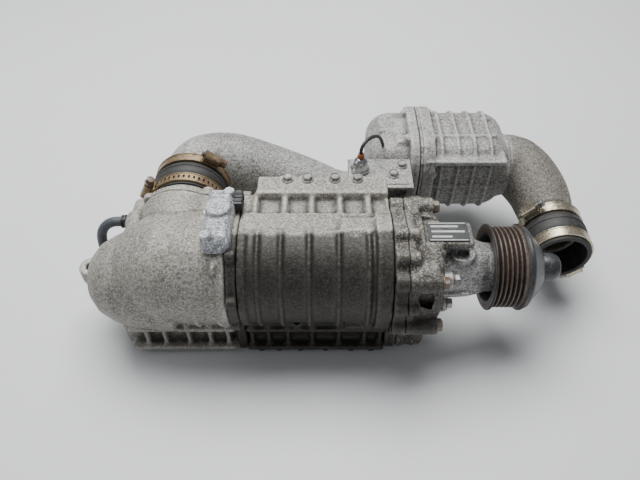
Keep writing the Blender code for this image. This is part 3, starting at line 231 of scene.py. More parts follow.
def bar(bm, axis, centre, radius, low, high, tip=None, segments=48, edge=0.0):
    """A round bar from low to high on an axis, with its ends' edges rounded."""
    matrix = Matrix.Translation(on_axis(axis, centre, (low + high) / 2)) @ AXIS_TURN[axis]
    if axis == "X":
        radius, tip = (radius, radius if tip is None else tip)
    made = bmesh.ops.create_cone(bm, cap_ends=True, segments=segments, radius1=radius,
                                 radius2=radius if tip is None else tip, depth=high - low, matrix=matrix)
    if edge:
        rims = {e for vert in made["verts"] for face in vert.link_faces if len(face.verts) > 4
                for e in face.edges}
        bmesh.ops.bevel(bm, geom=list(rims), offset=edge, segments=2, affect="EDGES", profile=0.5,
                        material=-1)


def turned(bm, axis, centre, outline, ring=False, steps=64):
    """A turned solid. outline holds (position on the axis, radius); a ring's outline closes on itself."""
    points = list(outline)
    if not ring:
        points = [(points[0][0], 0.0), *points, (points[-1][0], 0.0)]
    before = set(bm.verts)
    verts = [bm.verts.new((radius, 0.0, position)) for position, radius in points]
    pairs = list(zip(verts, verts[1:])) + ([(verts[-1], verts[0])] if ring else [])
    edges = [bm.edges.new(pair) for pair in pairs]
    bmesh.ops.spin(bm, geom=verts + edges, axis=(0, 0, 1), cent=(0, 0, 0), angle=2 * pi, steps=steps,
                   use_merge=True)
    made = [vert for vert in bm.verts if vert not in before]
    bmesh.ops.remove_doubles(bm, verts=made, dist=SAME_POINT)
    made = [vert for vert in bm.verts if vert not in before]
    bmesh.ops.transform(bm, matrix=Matrix.Translation(on_axis(axis, centre, 0.0)) @ AXIS_TURN[axis],
                        verts=made)


def arc(bm, x, width, inner, outer, start, end):
    """A rib round part of the drive axis, between two angles in degrees."""
    first = Matrix.Rotation(radians(start), 4, "X")
    low, high = x - width / 2, x + width / 2
    spots = [(low, inner), (high, inner), (high, outer), (low, outer)]
    verts = [bm.verts.new(first @ Vector((along, radius, 0))) for along, radius in spots]
    face = bm.faces.new(verts)
    bmesh.ops.spin(bm, geom=[face, *face.edges, *face.verts], axis=(1, 0, 0), cent=(0, 0, 0),
                   angle=radians(end - start), steps=40)
    island, stack = set(), [face.verts[0]]
    while stack:
        vert = stack.pop()
        if vert not in island:
            island.add(vert)
            stack += [edge.other_vert(vert) for edge in vert.link_edges]
    bmesh.ops.translate(bm, vec=on_axis("X", DRIVE, 0.0), verts=list(island))


def eased(route, radii, per):
    """A route made smooth through its points, with the radius at each, per steps from point to point."""
    points = [Vector(point) for point in route]
    values = [Vector((*point, radius)) for point, radius in zip(points, radii)]
    values = [2 * values[0] - values[1], *values, 2 * values[-1] - values[-2]]
    out = []
    for a, b, c, d in zip(values, values[1:], values[2:], values[3:]):
        for step in range(per):
            t = step / per
            out.append(0.5 * (2 * b + (c - a) * t + (2 * a - 5 * b + 4 * c - d) * t * t
                              + (3 * b - a - 3 * c + d) * t ** 3))
    out.append(values[-2])
    return [Vector(value[:3]) for value in out], [value[3] for value in out]


def stations(points):
    """A matrix at each point of a route, its Z along the route, turned as little as possible."""
    normal = None
    for index, point in enumerate(points):
        run = (points[min(index + 1, len(points) - 1)] - points[max(index - 1, 0)]).normalized()
        if normal is None:
            normal = run.orthogonal().normalized()
        normal = (normal - run * normal.dot(run)).normalized()
        side = run.cross(normal)
        yield Matrix((normal, side, run)).transposed().to_4x4(), point


def sweep(bm, points, radii, sides):
    """A round bar along a route, capped at both ends."""
    previous = None
    for index, (turn, point) in enumerate(stations(points)):
        capped = index in (0, len(points) - 1)
        made = bmesh.ops.create_circle(bm, cap_ends=capped, segments=sides, radius=radii[index],
                                       matrix=Matrix.Translation(point) @ turn)
        rim = list({edge for vert in made["verts"] for edge in vert.link_edges})
        if previous:
            bmesh.ops.bridge_loops(bm, edges=previous + rim)
        previous = rim


# ---- finished pieces -----------------------------------------------------------------------------
def solid(name, bm):
    """A mesh object from a bmesh, moved into the frame."""
    bmesh.ops.transform(bm, matrix=TO_FRAME, verts=bm.verts)
    bmesh.ops.recalc_face_normals(bm, faces=bm.faces)
    mesh = bpy.data.meshes.new(name)
    bm.to_mesh(mesh)
    bm.free()
    obj = bpy.data.objects.new(name, mesh)
    bpy.context.scene.collection.objects.link(obj)
    return obj


def discard(obj):
    mesh = obj.data
    bpy.data.objects.remove(obj)
    bpy.data.meshes.remove(mesh)


def settle(obj):
    """Swaps an object for one whose mesh has all its modifiers applied."""
    graph = bpy.context.evaluated_depsgraph_get()
    mesh = bpy.data.meshes.new_from_object(obj.evaluated_get(graph))
    name = obj.name
    discard(obj)
    mesh.name = name
    made = bpy.data.objects.new(name, mesh)
    bpy.context.scene.collection.objects.link(made)
    return made


def edge_sums(ends, values, count):
    """For each vertex, the sum of its neighbours' values."""
    out = np.zeros((count, values.shape[1]))
    for axis in range(values.shape[1]):
        out[:, axis] = (np.bincount(ends[:, 0], values[ends[:, 1], axis], count)
                        + np.bincount(ends[:, 1], values[ends[:, 0], axis], count))
    return out


def mark_relief(mesh):
    """Stores how far each vertex stands out of, or lies in, the shape around it, in millimetres."""
    count = len(mesh.vertices)
    places = np.empty(count * 3)
    normals = np.empty(count * 3)
    ends = np.empty(len(mesh.edges) * 2, np.int32)
    mesh.vertices.foreach_get("co", places)
    mesh.vertices.foreach_get("normal", normals)
    mesh.edges.foreach_get("vertices", ends)
    places, normals, ends = places.reshape(-1, 3), normals.reshape(-1, 3), ends.reshape(-1, 2)
    degree = np.maximum(np.bincount(ends.ravel(), minlength=count), 1)[:, None]
    eased_places = places.copy()
    # relief marks ridges and hollows, shelter marks broad hollows: the casting skin paints a highlight on
    # ridges and shade in hollows.
    for name, rounds in (("relief", 6), ("shelter", 60)):
        for _ in range(rounds):
            eased_places = 0.5 * eased_places + 0.5 * edge_sums(ends, eased_places, count) / degree
        stands = ((places - eased_places) * normals).sum(axis=1) * MILLIMETRES
        stands = stands[:, None]
        for _ in range(2):
            stands = 0.5 * stands + 0.5 * edge_sums(ends, stands, count) / degree
        layer = mesh.attributes.new(name, "FLOAT", "POINT")
        layer.data.foreach_set("value", stands[:, 0].astype(np.float32))


def run_together(obj, grid):
    """Remeshes an object on a grid, so that its lumps become one skin."""
    skin = obj.modifiers.new("run together", "REMESH")
    skin.mode, skin.voxel_size = "VOXEL", grid


def take_out(obj, tool, solver):
    removal = obj.modifiers.new("take out", "BOOLEAN")
    removal.operation, removal.solver, removal.object = "DIFFERENCE", solver, tool
    return removal


def cast(name, lumps, cutters, grid, smoothing=3):
    """A casting: the lumps run together, the cutters taken out, and every edge rounded a little."""
    obj = solid(name, lumps)
    tool = solid(name + "_cut", cutters)
    run_together(obj, grid)
    run_together(tool, grid)
    take_out(obj, tool, "MANIFOLD")
    run_together(obj, grid)
    ease = obj.modifiers.new("ease", "SMOOTH")
    ease.factor, ease.iterations = 0.5, smoothing
    made = settle(obj)
    discard(tool)
    made.data.shade_smooth()
    mark_relief(made.data)
    return made


def finished(obj, body, finish, slot, *nodes, sharp=None):
    """Gives a piece its body and finish, and hides the nodes that it stands for."""
    obj.data.materials.clear()
    obj.data.materials.append(finish_named(finish))
    if sharp is not None:
        obj.data.shade_smooth()
        obj.data.set_sharp_from_angle(angle=radians(sharp))
    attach(obj, body)
    if nodes:
        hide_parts(*nodes)
    return obj


# ---- finishes ------------------------------------------------------------------------------------
def add(tree, kind, feeds=None, **settings):
    """A node with its settings. feeds holds, by socket, a value or the output that feeds it."""
    node = tree.nodes.new(kind)
    for key, value in settings.items():
        setattr(node, key, value)
    feed(tree, node, feeds or {})
    return node


def calc(tree, operation, first, second=0.0, clamp=False):
    return add(tree, "ShaderNodeMath", {0: first, 1: second}, operation=operation,
               use_clamp=clamp).outputs[0]


def times(tree, first, second, clamp=False):
    return calc(tree, "MULTIPLY", first, second, clamp)


def mix(tree, share, first, second):
    return add(tree, "ShaderNodeMix", {0: share, 6: first, 7: second}, data_type="RGBA").outputs[2]


def scaled(tree, colour, tone):
    return add(tree, "ShaderNodeVectorMath", {0: colour, 3: tone}, operation="SCALE").outputs[0]


def noise(tree, place, scale, detail=2.0, roughness=0.5, distortion=0.0):
    return add(tree, "ShaderNodeTexNoise", {"Vector": place, "Scale": scale, "Detail": detail,
                                            "Roughness": roughness, "Distortion": distortion}
               ).outputs["Fac"]


def between(tree, value, low, high, out_low=0.0, out_high=1.0):
    return add(tree, "ShaderNodeMapRange", {"Value": value, "From Min": low, "From Max": high,
                                            "To Min": out_low, "To Max": out_high}).outputs[0]


def rgba(colour):
    return (*colour[:3], 1.0)


def new_group(name, inputs, outputs):
    """A shader node group with its sockets, its input node and its output node."""
    tree = bpy.data.node_groups.new(name, "ShaderNodeTree")
    for title, kind, value in inputs:
        socket = tree.interface.new_socket(name=title, in_out="INPUT", socket_type=kind)
        if value is not None:
            socket.default_value = value
    for title, kind in outputs:
        tree.interface.new_socket(name=title, in_out="OUTPUT", socket_type=kind)
    return tree, tree.nodes.new("NodeGroupInput"), tree.nodes.new("NodeGroupOutput")


def feed(tree, node, feeds):
    """Gives a node's sockets their values, or links to the outputs that feed them."""
    for title, value in feeds.items():
        if isinstance(value, bpy.types.NodeSocket):
            tree.links.new(value, node.inputs[title])
        else:
            node.inputs[title].default_value = value


SURFACE = [("Colour", "NodeSocketColor"), ("Roughness", "NodeSocketFloat"),
           ("Metallic", "NodeSocketFloat"), ("Height", "NodeSocketFloat")]


def casting_skin():
    """Bare cast aluminium: grain, dark pores, white corrosion, grime and painted shade in corners and
    hollows, and a painted highlight on crests.
    """
    tree, source, sink = new_group("casting skin", [
        ("Place", "NodeSocketVector", None), ("Relief", "NodeSocketFloat", 0.0),
        ("Shelter", "NodeSocketFloat", 0.0), ("Metal", "NodeSocketColor", (0.4, 0.4, 0.4, 1)),
        ("Bloom", "NodeSocketColor", (0.7, 0.7, 0.69, 1)),
        ("Grime and shade", "NodeSocketColor", (0.05, 0.045, 0.04, 1)),
        ("Bloom amount", "NodeSocketFloat", 0.5), ("Speckle", "NodeSocketFloat", 0.5),
        ("Grime and shade amount", "NodeSocketFloat", 0.5), ("Polish", "NodeSocketFloat", 0.4)], SURFACE)
    put = source.outputs
    place = put["Place"]
    grain = noise(tree, place, 900.0, 3.0, 0.65)
    coarse = noise(tree, place, 430.0, 3.0, 0.6)
    mottle = noise(tree, place, 130.0, 4.0, 0.6)
    cloud = noise(tree, place, 34.0, 5.0, 0.62, 0.6)
    drift = noise(tree, place, 11.0, 3.0, 0.55)
    fleck = noise(tree, place, 760.0, 2.0, 0.5, 0.3)
    tone = between(tree, coarse, 0.35, 0.65, 0.66, 1.32)
    tone = times(tree, tone, between(tree, mottle, 0.30, 0.70, 0.80, 1.18))
    tone = times(tree, tone, between(tree, drift, 0.30, 0.70, 0.84, 1.14))
    colour = scaled(tree, put["Metal"], tone)
    bloom = times(tree, between(tree, cloud, 0.47, 0.68), between(tree, coarse, 0.36, 0.62))
    bloom = calc(tree, "ADD", bloom, times(tree, between(tree, put["Relief"], 0.02, 0.22), 0.20))
    bloom = times(tree, bloom, put["Bloom amount"], clamp=True)
    colour = mix(tree, bloom, colour, put["Bloom"])
    # Painted highlight: ridges (high relief) are brightened up to 1.45 times.
    crest = between(tree, put["Relief"], 0.04, 0.22, 1.0, 1.45)
    colour = scaled(tree, colour, crest)
    salt = times(tree, between(tree, fleck, 0.52, 0.62), put["Speckle"])
    colour = mix(tree, times(tree, salt, 0.95), colour, put["Bloom"])
    pepper = times(tree, between(tree, grain, 0.42, 0.30), put["Speckle"])
    colour = mix(tree, times(tree, pepper, 0.60), colour, put["Grime and shade"])
    # Hollows (relief) and broad hollows (shelter) darken towards the grime colour: partly crevice grime,
    # partly painted shade. The stain added below is real.
    hollow = between(tree, put["Relief"], -0.02, -0.24)
    low = between(tree, put["Shelter"], -0.1, -1.6)
    grime_and_shade = calc(tree, "ADD", times(tree, hollow, 0.75), times(tree, low, 0.65))
    grime_and_shade = times(tree, grime_and_shade, between(tree, mottle, 0.25, 0.62, 0.45, 1.15))
    stain = times(tree, between(tree, drift, 0.52, 0.72), between(tree, mottle, 0.42, 0.62))
    grime_and_shade = calc(tree, "ADD", grime_and_shade, times(tree, stain, 0.35))
    grime_and_shade = times(tree, grime_and_shade, put["Grime and shade amount"], clamp=True)
    colour = mix(tree, times(tree, grime_and_shade, 0.88), colour, put["Grime and shade"])
    rough = between(tree, mottle, 0.30, 0.70, 0.48, 0.66)
    rough = calc(tree, "ADD", rough, times(tree, bloom, 0.22))
    rough = calc(tree, "SUBTRACT", rough, times(tree, grime_and_shade, 0.10), clamp=True)
    metal = times(tree, put["Polish"], calc(tree, "SUBTRACT", 1.0, bloom))
    metal = times(tree, metal, calc(tree, "SUBTRACT", 1.0, grime_and_shade), clamp=True)
    height = calc(tree, "ADD", times(tree, grain, 0.55), times(tree, coarse, 0.75))
    height = calc(tree, "SUBTRACT", height, times(tree, pepper, 0.45))
    feed(tree, sink, {"Colour": colour, "Roughness": rough, "Metallic": metal, "Height": height})
    return tree


def worn_coat():
    """A paint, plating or polymer skin with scuffs, dust and rust that blooms through it."""
    tree, source, sink = new_group("worn coat", [
        ("Place", "NodeSocketVector", None), ("Coat", "NodeSocketColor", (0.05, 0.05, 0.05, 1)),
        ("Scuff", "NodeSocketColor", (0.2, 0.2, 0.2, 1)),
        ("Rust", "NodeSocketColor", (0.16, 0.06, 0.02, 1)),
        ("Scuffs", "NodeSocketFloat", 0.3), ("Rusting", "NodeSocketFloat", 0.0),
        ("Grain", "NodeSocketFloat", 600.0), ("Metal", "NodeSocketFloat", 0.0),
        ("Gloss", "NodeSocketFloat", 0.5)], SURFACE)
    put = source.outputs
    place = put["Place"]
    fine = noise(tree, place, put["Grain"], 3.0, 0.6)
    patch = noise(tree, place, 120.0, 4.0, 0.65, 0.4)
    cloud = noise(tree, place, 45.0, 4.0, 0.6)
    tone = times(tree, between(tree, fine, 0.3, 0.7, 0.82, 1.2),
                between(tree, cloud, 0.3, 0.7, 0.85, 1.15))
    colour = scaled(tree, put["Coat"], tone)
    scuff = times(tree, between(tree, patch, 0.50, 0.70), between(tree, fine, 0.40, 0.62))
    scuff = times(tree, scuff, put["Scuffs"], clamp=True)
    colour = mix(tree, scuff, colour, put["Scuff"])
    edge = calc(tree, "SUBTRACT", 0.78, times(tree, put["Rusting"], 0.52))
    spread = calc(tree, "ADD", times(tree, cloud, 0.55), times(tree, patch, 0.45))
    rust = between(tree, spread, edge, calc(tree, "ADD", edge, 0.07))
    rust_tone = scaled(tree, put["Rust"], between(tree, fine, 0.3, 0.7, 0.45, 1.6))
    colour = mix(tree, rust, colour, rust_tone)
    metal = times(tree, put["Metal"], calc(tree, "SUBTRACT", 1.0, rust), clamp=True)
    rough = calc(tree, "ADD", put["Gloss"], between(tree, fine, 0.3, 0.7, -0.06, 0.08))
    worn = calc(tree, "MAXIMUM", rust, scuff)
    rough = calc(tree, "ADD", rough, times(tree, worn, 0.28), clamp=True)
    height = calc(tree, "ADD", times(tree, fine, 0.5), times(tree, rust, 0.5))
    feed(tree, sink, {"Colour": colour, "Roughness": rough, "Metallic": metal, "Height": height})
    return tree


# Colour of pores, stains and crevice grime, and of the painted shade in hollows.
GRIME_AND_SHADE = (0.035, 0.031, 0.026)
FINISHES = {}
GROUPS = {}


def group_named(name):
    if name not in GROUPS:
        GROUPS[name] = {"casting": casting_skin, "coat": worn_coat, "axis": from_axis}[name]()
    return GROUPS[name]


def from_axis():
    """Distance from the X axis through a point, for marks that follow a turned shape."""
    tree, source, sink = new_group("distance from axis", [("Place", "NodeSocketVector", None)],
                                   [("Distance", "NodeSocketFloat")])
    parts = add(tree, "ShaderNodeSeparateXYZ", {0: source.outputs["Place"]}).outputs
    flat = add(tree, "ShaderNodeCombineXYZ", {1: parts[1], 2: parts[2]}).outputs[0]
    length = add(tree, "ShaderNodeVectorMath", {0: flat}, operation="LENGTH").outputs["Value"]
    tree.links.new(length, sink.inputs[0])
    return tree


def blank_finish(name):
    mat = bpy.data.materials.new(name)
    mat.use_nodes = True
    tree = mat.node_tree
    shader = tree.nodes["Principled BSDF"]
    place = tree.nodes.new("ShaderNodeTexCoord").outputs["Object"]
    return mat, tree, shader, place


def dress(tree, shader, made, bump, depth):
    """Feeds a skin's outputs to the shader."""
    for title, socket in (("Colour", "Base Color"), ("Roughness", "Roughness"), ("Metallic", "Metallic")):
        tree.links.new(made.outputs[title], shader.inputs[socket])
    lift = add(tree, "ShaderNodeBump", {"Strength": bump, "Distance": depth,
                                        "Height": made.outputs["Height"]})
    tree.links.new(lift.outputs[0], shader.inputs["Normal"])


def casting_finish(name, metal, bloom=(0.53, 0.515, 0.475), bloom_amount=0.5, speckle=0.6,
                   grime_and_shade_amount=0.8, polish=0.3, bump=0.6, oil_and_shade=None):
    """A casting finish. Its front is given as (colour, low, high, calm): the skin turns from the given
    colour to its bare metal between two places along Y, and at the front only the share calm of its bloom is
    left.
    The dark front is partly oily staining and partly painted shade."""
    mat, tree, shader, place = blank_finish(name)
    relief, shelter = (add(tree, "ShaderNodeAttribute", attribute_name=key).outputs["Fac"]
                       for key in ("relief", "shelter"))
    feeds = {"Place": place, "Relief": relief, "Shelter": shelter, "Metal": rgba(metal),
             "Bloom": rgba(bloom), "Grime and shade": rgba(GRIME_AND_SHADE), "Bloom amount": bloom_amount,
             "Speckle": speckle, "Grime and shade amount": grime_and_shade_amount, "Polish": polish}
    if oil_and_shade:
        # Towards the front (low Y) the colour turns to the oily colour: partly oily staining, partly painted
        # shade on the front faces.
        colour, low, high, calm = oil_and_shade
        parts = add(tree, "ShaderNodeSeparateXYZ", {0: place}).outputs
        wander = times(tree, noise(tree, place, 60.0, 3.0), 0.006)
        dry_and_lit = between(tree, calc(tree, "ADD", parts[1], wander), low + DRIVE_FOOT.y,
                      high + DRIVE_FOOT.y)
        feeds["Metal"] = mix(tree, dry_and_lit, rgba(colour), rgba(metal))
        feeds["Bloom amount"] = times(tree, between(tree, dry_and_lit, 0.0, 1.0, calm, 1.0),
                                     bloom_amount)
        feeds["Speckle"] = times(tree, between(tree, dry_and_lit, 0.0, 1.0, 0.10, 1.0), speckle)
    made = add(tree, "ShaderNodeGroup", node_tree=group_named("casting"))
    feed(tree, made, feeds)
    dress(tree, shader, made, bump, 0.0006)
    return mat


def coat_finish(name, coat, scuff, scuffs=0.3, rusting=0.0, rust=None, grain=600.0, metal=0.0, gloss=0.5,
                bump=0.3, clear=0.0, bands=()):
    """A coated finish. bands is a list of (low, high, colour, share): radii from the drive axis."""
    mat, tree, shader, place = blank_finish(name)
    coat = rgba(coat)
    if bands:
        centred = add(tree, "ShaderNodeMapping", {"Vector": place,
                                                  "Location": (0.0, -DRIVE_FOOT.y, -AXIS_HEIGHT)}).outputs[0]
        distance = add(tree, "ShaderNodeGroup", node_tree=group_named("axis"))
        tree.links.new(centred, distance.inputs[0])
        rub = noise(tree, place, 300.0, 3.0, 0.6)
        for low, high, colour, share in bands:
            mask = between(tree, distance.outputs[0], low, high)
            mask = times(tree, mask, between(tree, rub, 0.32, 0.58, 0.25, share), clamp=True)
            coat = mix(tree, mask, coat, rgba(colour))
    made = add(tree, "ShaderNodeGroup", node_tree=group_named("coat"))
    feeds = {"Place": place, "Coat": coat, "Scuff": rgba(scuff), "Rust": rgba(rust or colours().rust),
             "Scuffs": scuffs, "Rusting": rusting, "Grain": grain, "Metal": metal, "Gloss": gloss}
    feed(tree, made, feeds)
    dress(tree, shader, made, bump, 0.0003)
    if clear:
        shader.inputs["Coat Weight"].default_value = clear
        shader.inputs["Coat Roughness"].default_value = 0.35
    return mat


def recipes():
    """What each finish is made with, by its plain name."""
    c = colours()
    return {
        "pale casting": (casting_finish, dict(
            metal=c.pale_casting, bloom_amount=0.35, speckle=0.75, grime_and_shade_amount=0.85)),
        # The front colour of rotor, cover and plate castings is partly oily staining and partly painted
        # shade.
        "rotor casting": (casting_finish, dict(
            metal=c.pale_casting, bloom_amount=0.35, speckle=0.7, grime_and_shade_amount=1.0, polish=0.35,
            oil_and_shade=(c.oily_and_shaded_casting, -0.0045, -0.0005, 0.05))),
        "cover casting": (casting_finish, dict(
            metal=c.cover_casting, bloom_amount=0.30, grime_and_shade_amount=1.0,
            oil_and_shade=(c.oily_and_shaded_casting, -0.046, -0.028, 0.2))),
        "plate casting": (casting_finish, dict(
            metal=c.cover_casting, bloom_amount=0.40, grime_and_shade_amount=0.9,
            oil_and_shade=(c.oily_and_shaded_casting, -0.040, -0.006, 0.2))),
        "weathered casting": (casting_finish, dict(
            metal=c.white_casting, bloom=(0.56, 0.565, 0.555), bloom_amount=0.60, speckle=0.85,
            grime_and_shade_amount=0.7, polish=0.25)),
        "stained casting": (casting_finish, dict(
            metal=(0.150, 0.138, 0.116), bloom=(0.40, 0.385, 0.35), bloom_amount=0.30,
            grime_and_shade_amount=1.0, polish=0.25)),
        "corroded casting": (casting_finish, dict(
            metal=(0.33, 0.345, 0.37), bloom=(0.74, 0.76, 0.78), bloom_amount=1.0, speckle=1.0,
            grime_and_shade_amount=0.9, polish=0.4, bump=0.9)),
        "bright casting": (casting_finish, dict(
            metal=c.bright_casting, bloom=(0.66, 0.66, 0.65), bloom_amount=0.25, speckle=0.8,
            grime_and_shade_amount=0.7, polish=0.75)),
        "pulley paint": (coat_finish, dict(
            coat=c.pulley_paint, scuff=(0.16, 0.155, 0.15), scuffs=0.5, gloss=0.36, clear=0.15)),
        "grooved rim": (coat_finish, dict(
            coat=(0.026, 0.027, 0.028), scuff=(0.13, 0.12, 0.11), scuffs=0.35, gloss=0.42, rusting=0.08,
            metal=0.2, bands=[(0.0286, 0.0294, (0.060, 0.033, 0.020), 1.0),
                              (0.0305, 0.0320, (0.055, 0.045, 0.040), 0.9),
                              (0.0320, 0.0323, (0.130, 0.105, 0.085), 1.0),
                              (0.0331, 0.0336, (0.030, 0.031, 0.032), 1.0)])),
        "rusty clamp": (coat_finish, dict(
            coat=(0.30, 0.225, 0.135), scuff=(0.42, 0.35, 0.25), scuffs=0.7, rusting=0.50,
            rust=(0.12, 0.070, 0.038), metal=0.75, gloss=0.38, bump=0.5)),
        "zinc clamp": (coat_finish, dict(
            coat=c.zinc, scuff=(0.66, 0.64, 0.60), scuffs=0.6, rusting=0.42, rust=(0.15, 0.100, 0.060),
            metal=0.85, gloss=0.27)),
        "steel": (coat_finish, dict(
            coat=(0.34, 0.33, 0.31), scuff=(0.50, 0.49, 0.47), scuffs=0.5, rusting=0.40, metal=0.85,
            gloss=0.38)),
        "rusty bolt": (coat_finish, dict(
            coat=(0.20, 0.17, 0.14), scuff=(0.40, 0.37, 0.33), scuffs=0.5, rusting=0.55, metal=0.6,
            bump=0.5)),
        "ground steel": (coat_finish, dict(
            coat=(0.55, 0.55, 0.56), scuff=(0.68, 0.68, 0.68), grain=1600.0, metal=1.0, gloss=0.22,
            bump=0.1)),
        "rotor alloy": (coat_finish, dict(
            coat=(0.55, 0.55, 0.54), scuff=(0.30, 0.29, 0.27), scuffs=0.5, grain=900.0, metal=0.9,
            gloss=0.32, bump=0.15)),
        "brass": (coat_finish, dict(
            coat=(0.55, 0.40, 0.16), scuff=(0.68, 0.55, 0.28), scuffs=0.4, metal=1.0, gloss=0.28,
            bump=0.1)),
        "rubber": (coat_finish, dict(
            coat=c.rubber, scuff=(0.12, 0.115, 0.11), scuffs=0.75, grain=700.0, gloss=0.58, bump=0.4)),
        "plastic": (coat_finish, dict(
            coat=(0.022, 0.023, 0.025), scuff=(0.10, 0.10, 0.10), scuffs=0.5, grain=900.0, gloss=0.42,
            bump=0.2)),
        "sleeving": (coat_finish, dict(
            coat=(0.055, 0.066, 0.078), scuff=(0.16, 0.17, 0.18), scuffs=0.6, grain=900.0)),
        "label foil": (coat_finish, dict(
            coat=(0.035, 0.036, 0.038), scuff=(0.16, 0.16, 0.16), scuffs=0.6, grain=500.0, metal=0.6,
            gloss=0.40, bump=0.15)),
        "label print": (coat_finish, dict(
            coat=(0.50, 0.50, 0.49), scuff=(0.30, 0.30, 0.29), scuffs=0.5, bump=0.1)),
        "orange seal": (coat_finish, dict(coat=(0.30, 0.105, 0.030), scuff=(0.42, 0.22, 0.10), scuffs=0.6)),
        "yellow core": (coat_finish, dict(coat=(0.72, 0.50, 0.03), scuff=(0.8, 0.66, 0.3), gloss=0.4)),
        "red core": (coat_finish, dict(coat=(0.50, 0.03, 0.02), scuff=(0.6, 0.2, 0.15), gloss=0.4)),
        "green core": (coat_finish, dict(coat=(0.05, 0.22, 0.07), scuff=(0.2, 0.4, 0.2), gloss=0.4)),
    }


def finish_named(name):
    if name not in FINISHES:
        maker, settings = recipes()[name]
        FINISHES[name] = maker(name, **settings)
    return FINISHES[name]


# ---- castings ------------------------------------------------------------------------------------
def two_bores(bm, low, high, drive_radius, driven_radius, segments=96):
    bar(bm, "X", DRIVE, drive_radius, low, high, segments=segments)
    bar(bm, "X", DRIVEN, driven_radius, low, high, segments=segments)


def ladder(bm, left, right, rungs):
    """Two rails and upright rungs down the front of the foot, with a lug between each pair of rungs."""
    block(bm, (left, -0.0312, 0.0272), (right, -0.0200, 0.0318), 0.0012)
    block(bm, (left, -0.0340, 0.0045), (right, -0.0200, 0.0092), 0.0012)
    for rung in rungs:
        block(bm, (rung - 0.0018, -0.0302, 0.001), (rung + 0.0018, -0.0180, 0.035), 0.001)
    for rung, following in zip(rungs, rungs[1:]):
        bar(bm, "Z", ((rung + following) / 2, -0.0305), 0.0030, 0.0005, 0.0070, segments=20)


def make_rotor_casing():
    left, right = HOUSING
    bm = bmesh.new()
    two_bores(bm, left, right, HOUSING_RADIUS, HOUSING_RADIUS)
    arc(bm, left + 0.0032, 0.0060, 0.040, 0.0464, 95, 250)
    arc(bm, right - 0.0062, 0.0118, 0.040, 0.0490, 60, 262)
    for rib in RING_RIBS:
        arc(bm, rib, 0.0028, 0.040, 0.0472, 93, 250)
    block(bm, (left, -0.024, 0.0), (right, 0.090, 0.044), 0.003)
    block(bm, (left, 0.006, 0.090), (right, 0.040, 0.1165), 0.0015)
    block(bm, (left + 0.002, -0.0055, 0.1075), (0.036, 0.018, 0.1190), 0.0008)
    block(bm, (-0.050, 0.0375, 0.084), (right, 0.058, 0.1205), 0.0015)
    for bolt in RAIL_BOLTS:
        bar(bm, "Z", (bolt, 0.0530), 0.0075, 0.100, 0.1210, segments=28, edge=0.0008)
    for low in DECK_RIBS:
        block(bm, (low + 0.0002, 0.014, 0.100), (low + 0.0030, 0.042, 0.1185), 0.0008)
    ladder(bm, left, right, HOUSING_RUNGS)
    block(bm, (0.015, -0.004, 0.106), (0.042, 0.012, 0.1208), 0.0022)
    bar(bm, "Y", (-0.019, 0.0385), 0.0050, -0.0300, -0.0100, segments=28)
    block(bm, (left, -0.028, 0.034), (right, -0.018, 0.0405), 0.0025)
    bar(bm, "X", (-0.030, 0.0385), 0.0042, 0.020, right - 0.001, segments=24)
    cutters = bmesh.new()
    two_bores(cutters, left - 0.004, right + 0.004, BORE, BORE)
    block(cutters, (-0.042, 0.002, -0.010), (0.036, 0.066, 0.045), 0.008, along="Z")
    for low, high in zip(DECK_RIBS, [*DECK_RIBS[1:], right]):
        block(cutters, (low + 0.0036, 0.0175, 0.1145), (high - 0.0006, 0.0365, 0.130), 0.0025)
    for bolt in RAIL_BOLTS:
        bar(cutters, "Z", (bolt, 0.0530), 0.0033, 0.110, 0.125, segments=20)
    bar(cutters, "Y", (-0.019, 0.0385), 0.0026, -0.0320, -0.0230, segments=20)
    return cast("rotor_casing", bm, cutters, sizes().casting_grid, smoothing=1)


def make_end_casting():
    left, right = END_PLATE
    bm = bmesh.new()
    two_bores(bm, left, right, HOUSING_RADIUS + 0.002, HOUSING_RADIUS)
    block(bm, (left, -0.030, 0.0), (right, 0.090, 0.044), 0.002)
    block(bm, (left, 0.004, 0.090), (right, 0.046, 0.1165), 0.002)
    for axis, radius, angle in ((DRIVE, 0.0455, 120), (DRIVE, 0.0455, 165), (DRIVE, 0.0455, 205),
                                (DRIVEN, 0.0425, 40), (DRIVEN, 0.0425, -20)):
        bar(bm, "X", polar(axis, radius, angle), 0.0052, left, right, segments=24)
    cutters = bmesh.new()
    for axis in (DRIVE, DRIVEN):
        bar(cutters, "X", axis, 0.0098, left - 0.002, right + 0.002, segments=40)
    block(cutters, (left - 0.002, -0.010, 0.088), (right + 0.002, 0.028, 0.106), 0.006, along="X")
    block(cutters, (left - 0.002, 0.060, 0.060), (right + 0.002, 0.078, 0.074), 0.005, along="X")
    return cast("inlet_plate_casting", bm, cutters, sizes().fine_grid * 1.2)


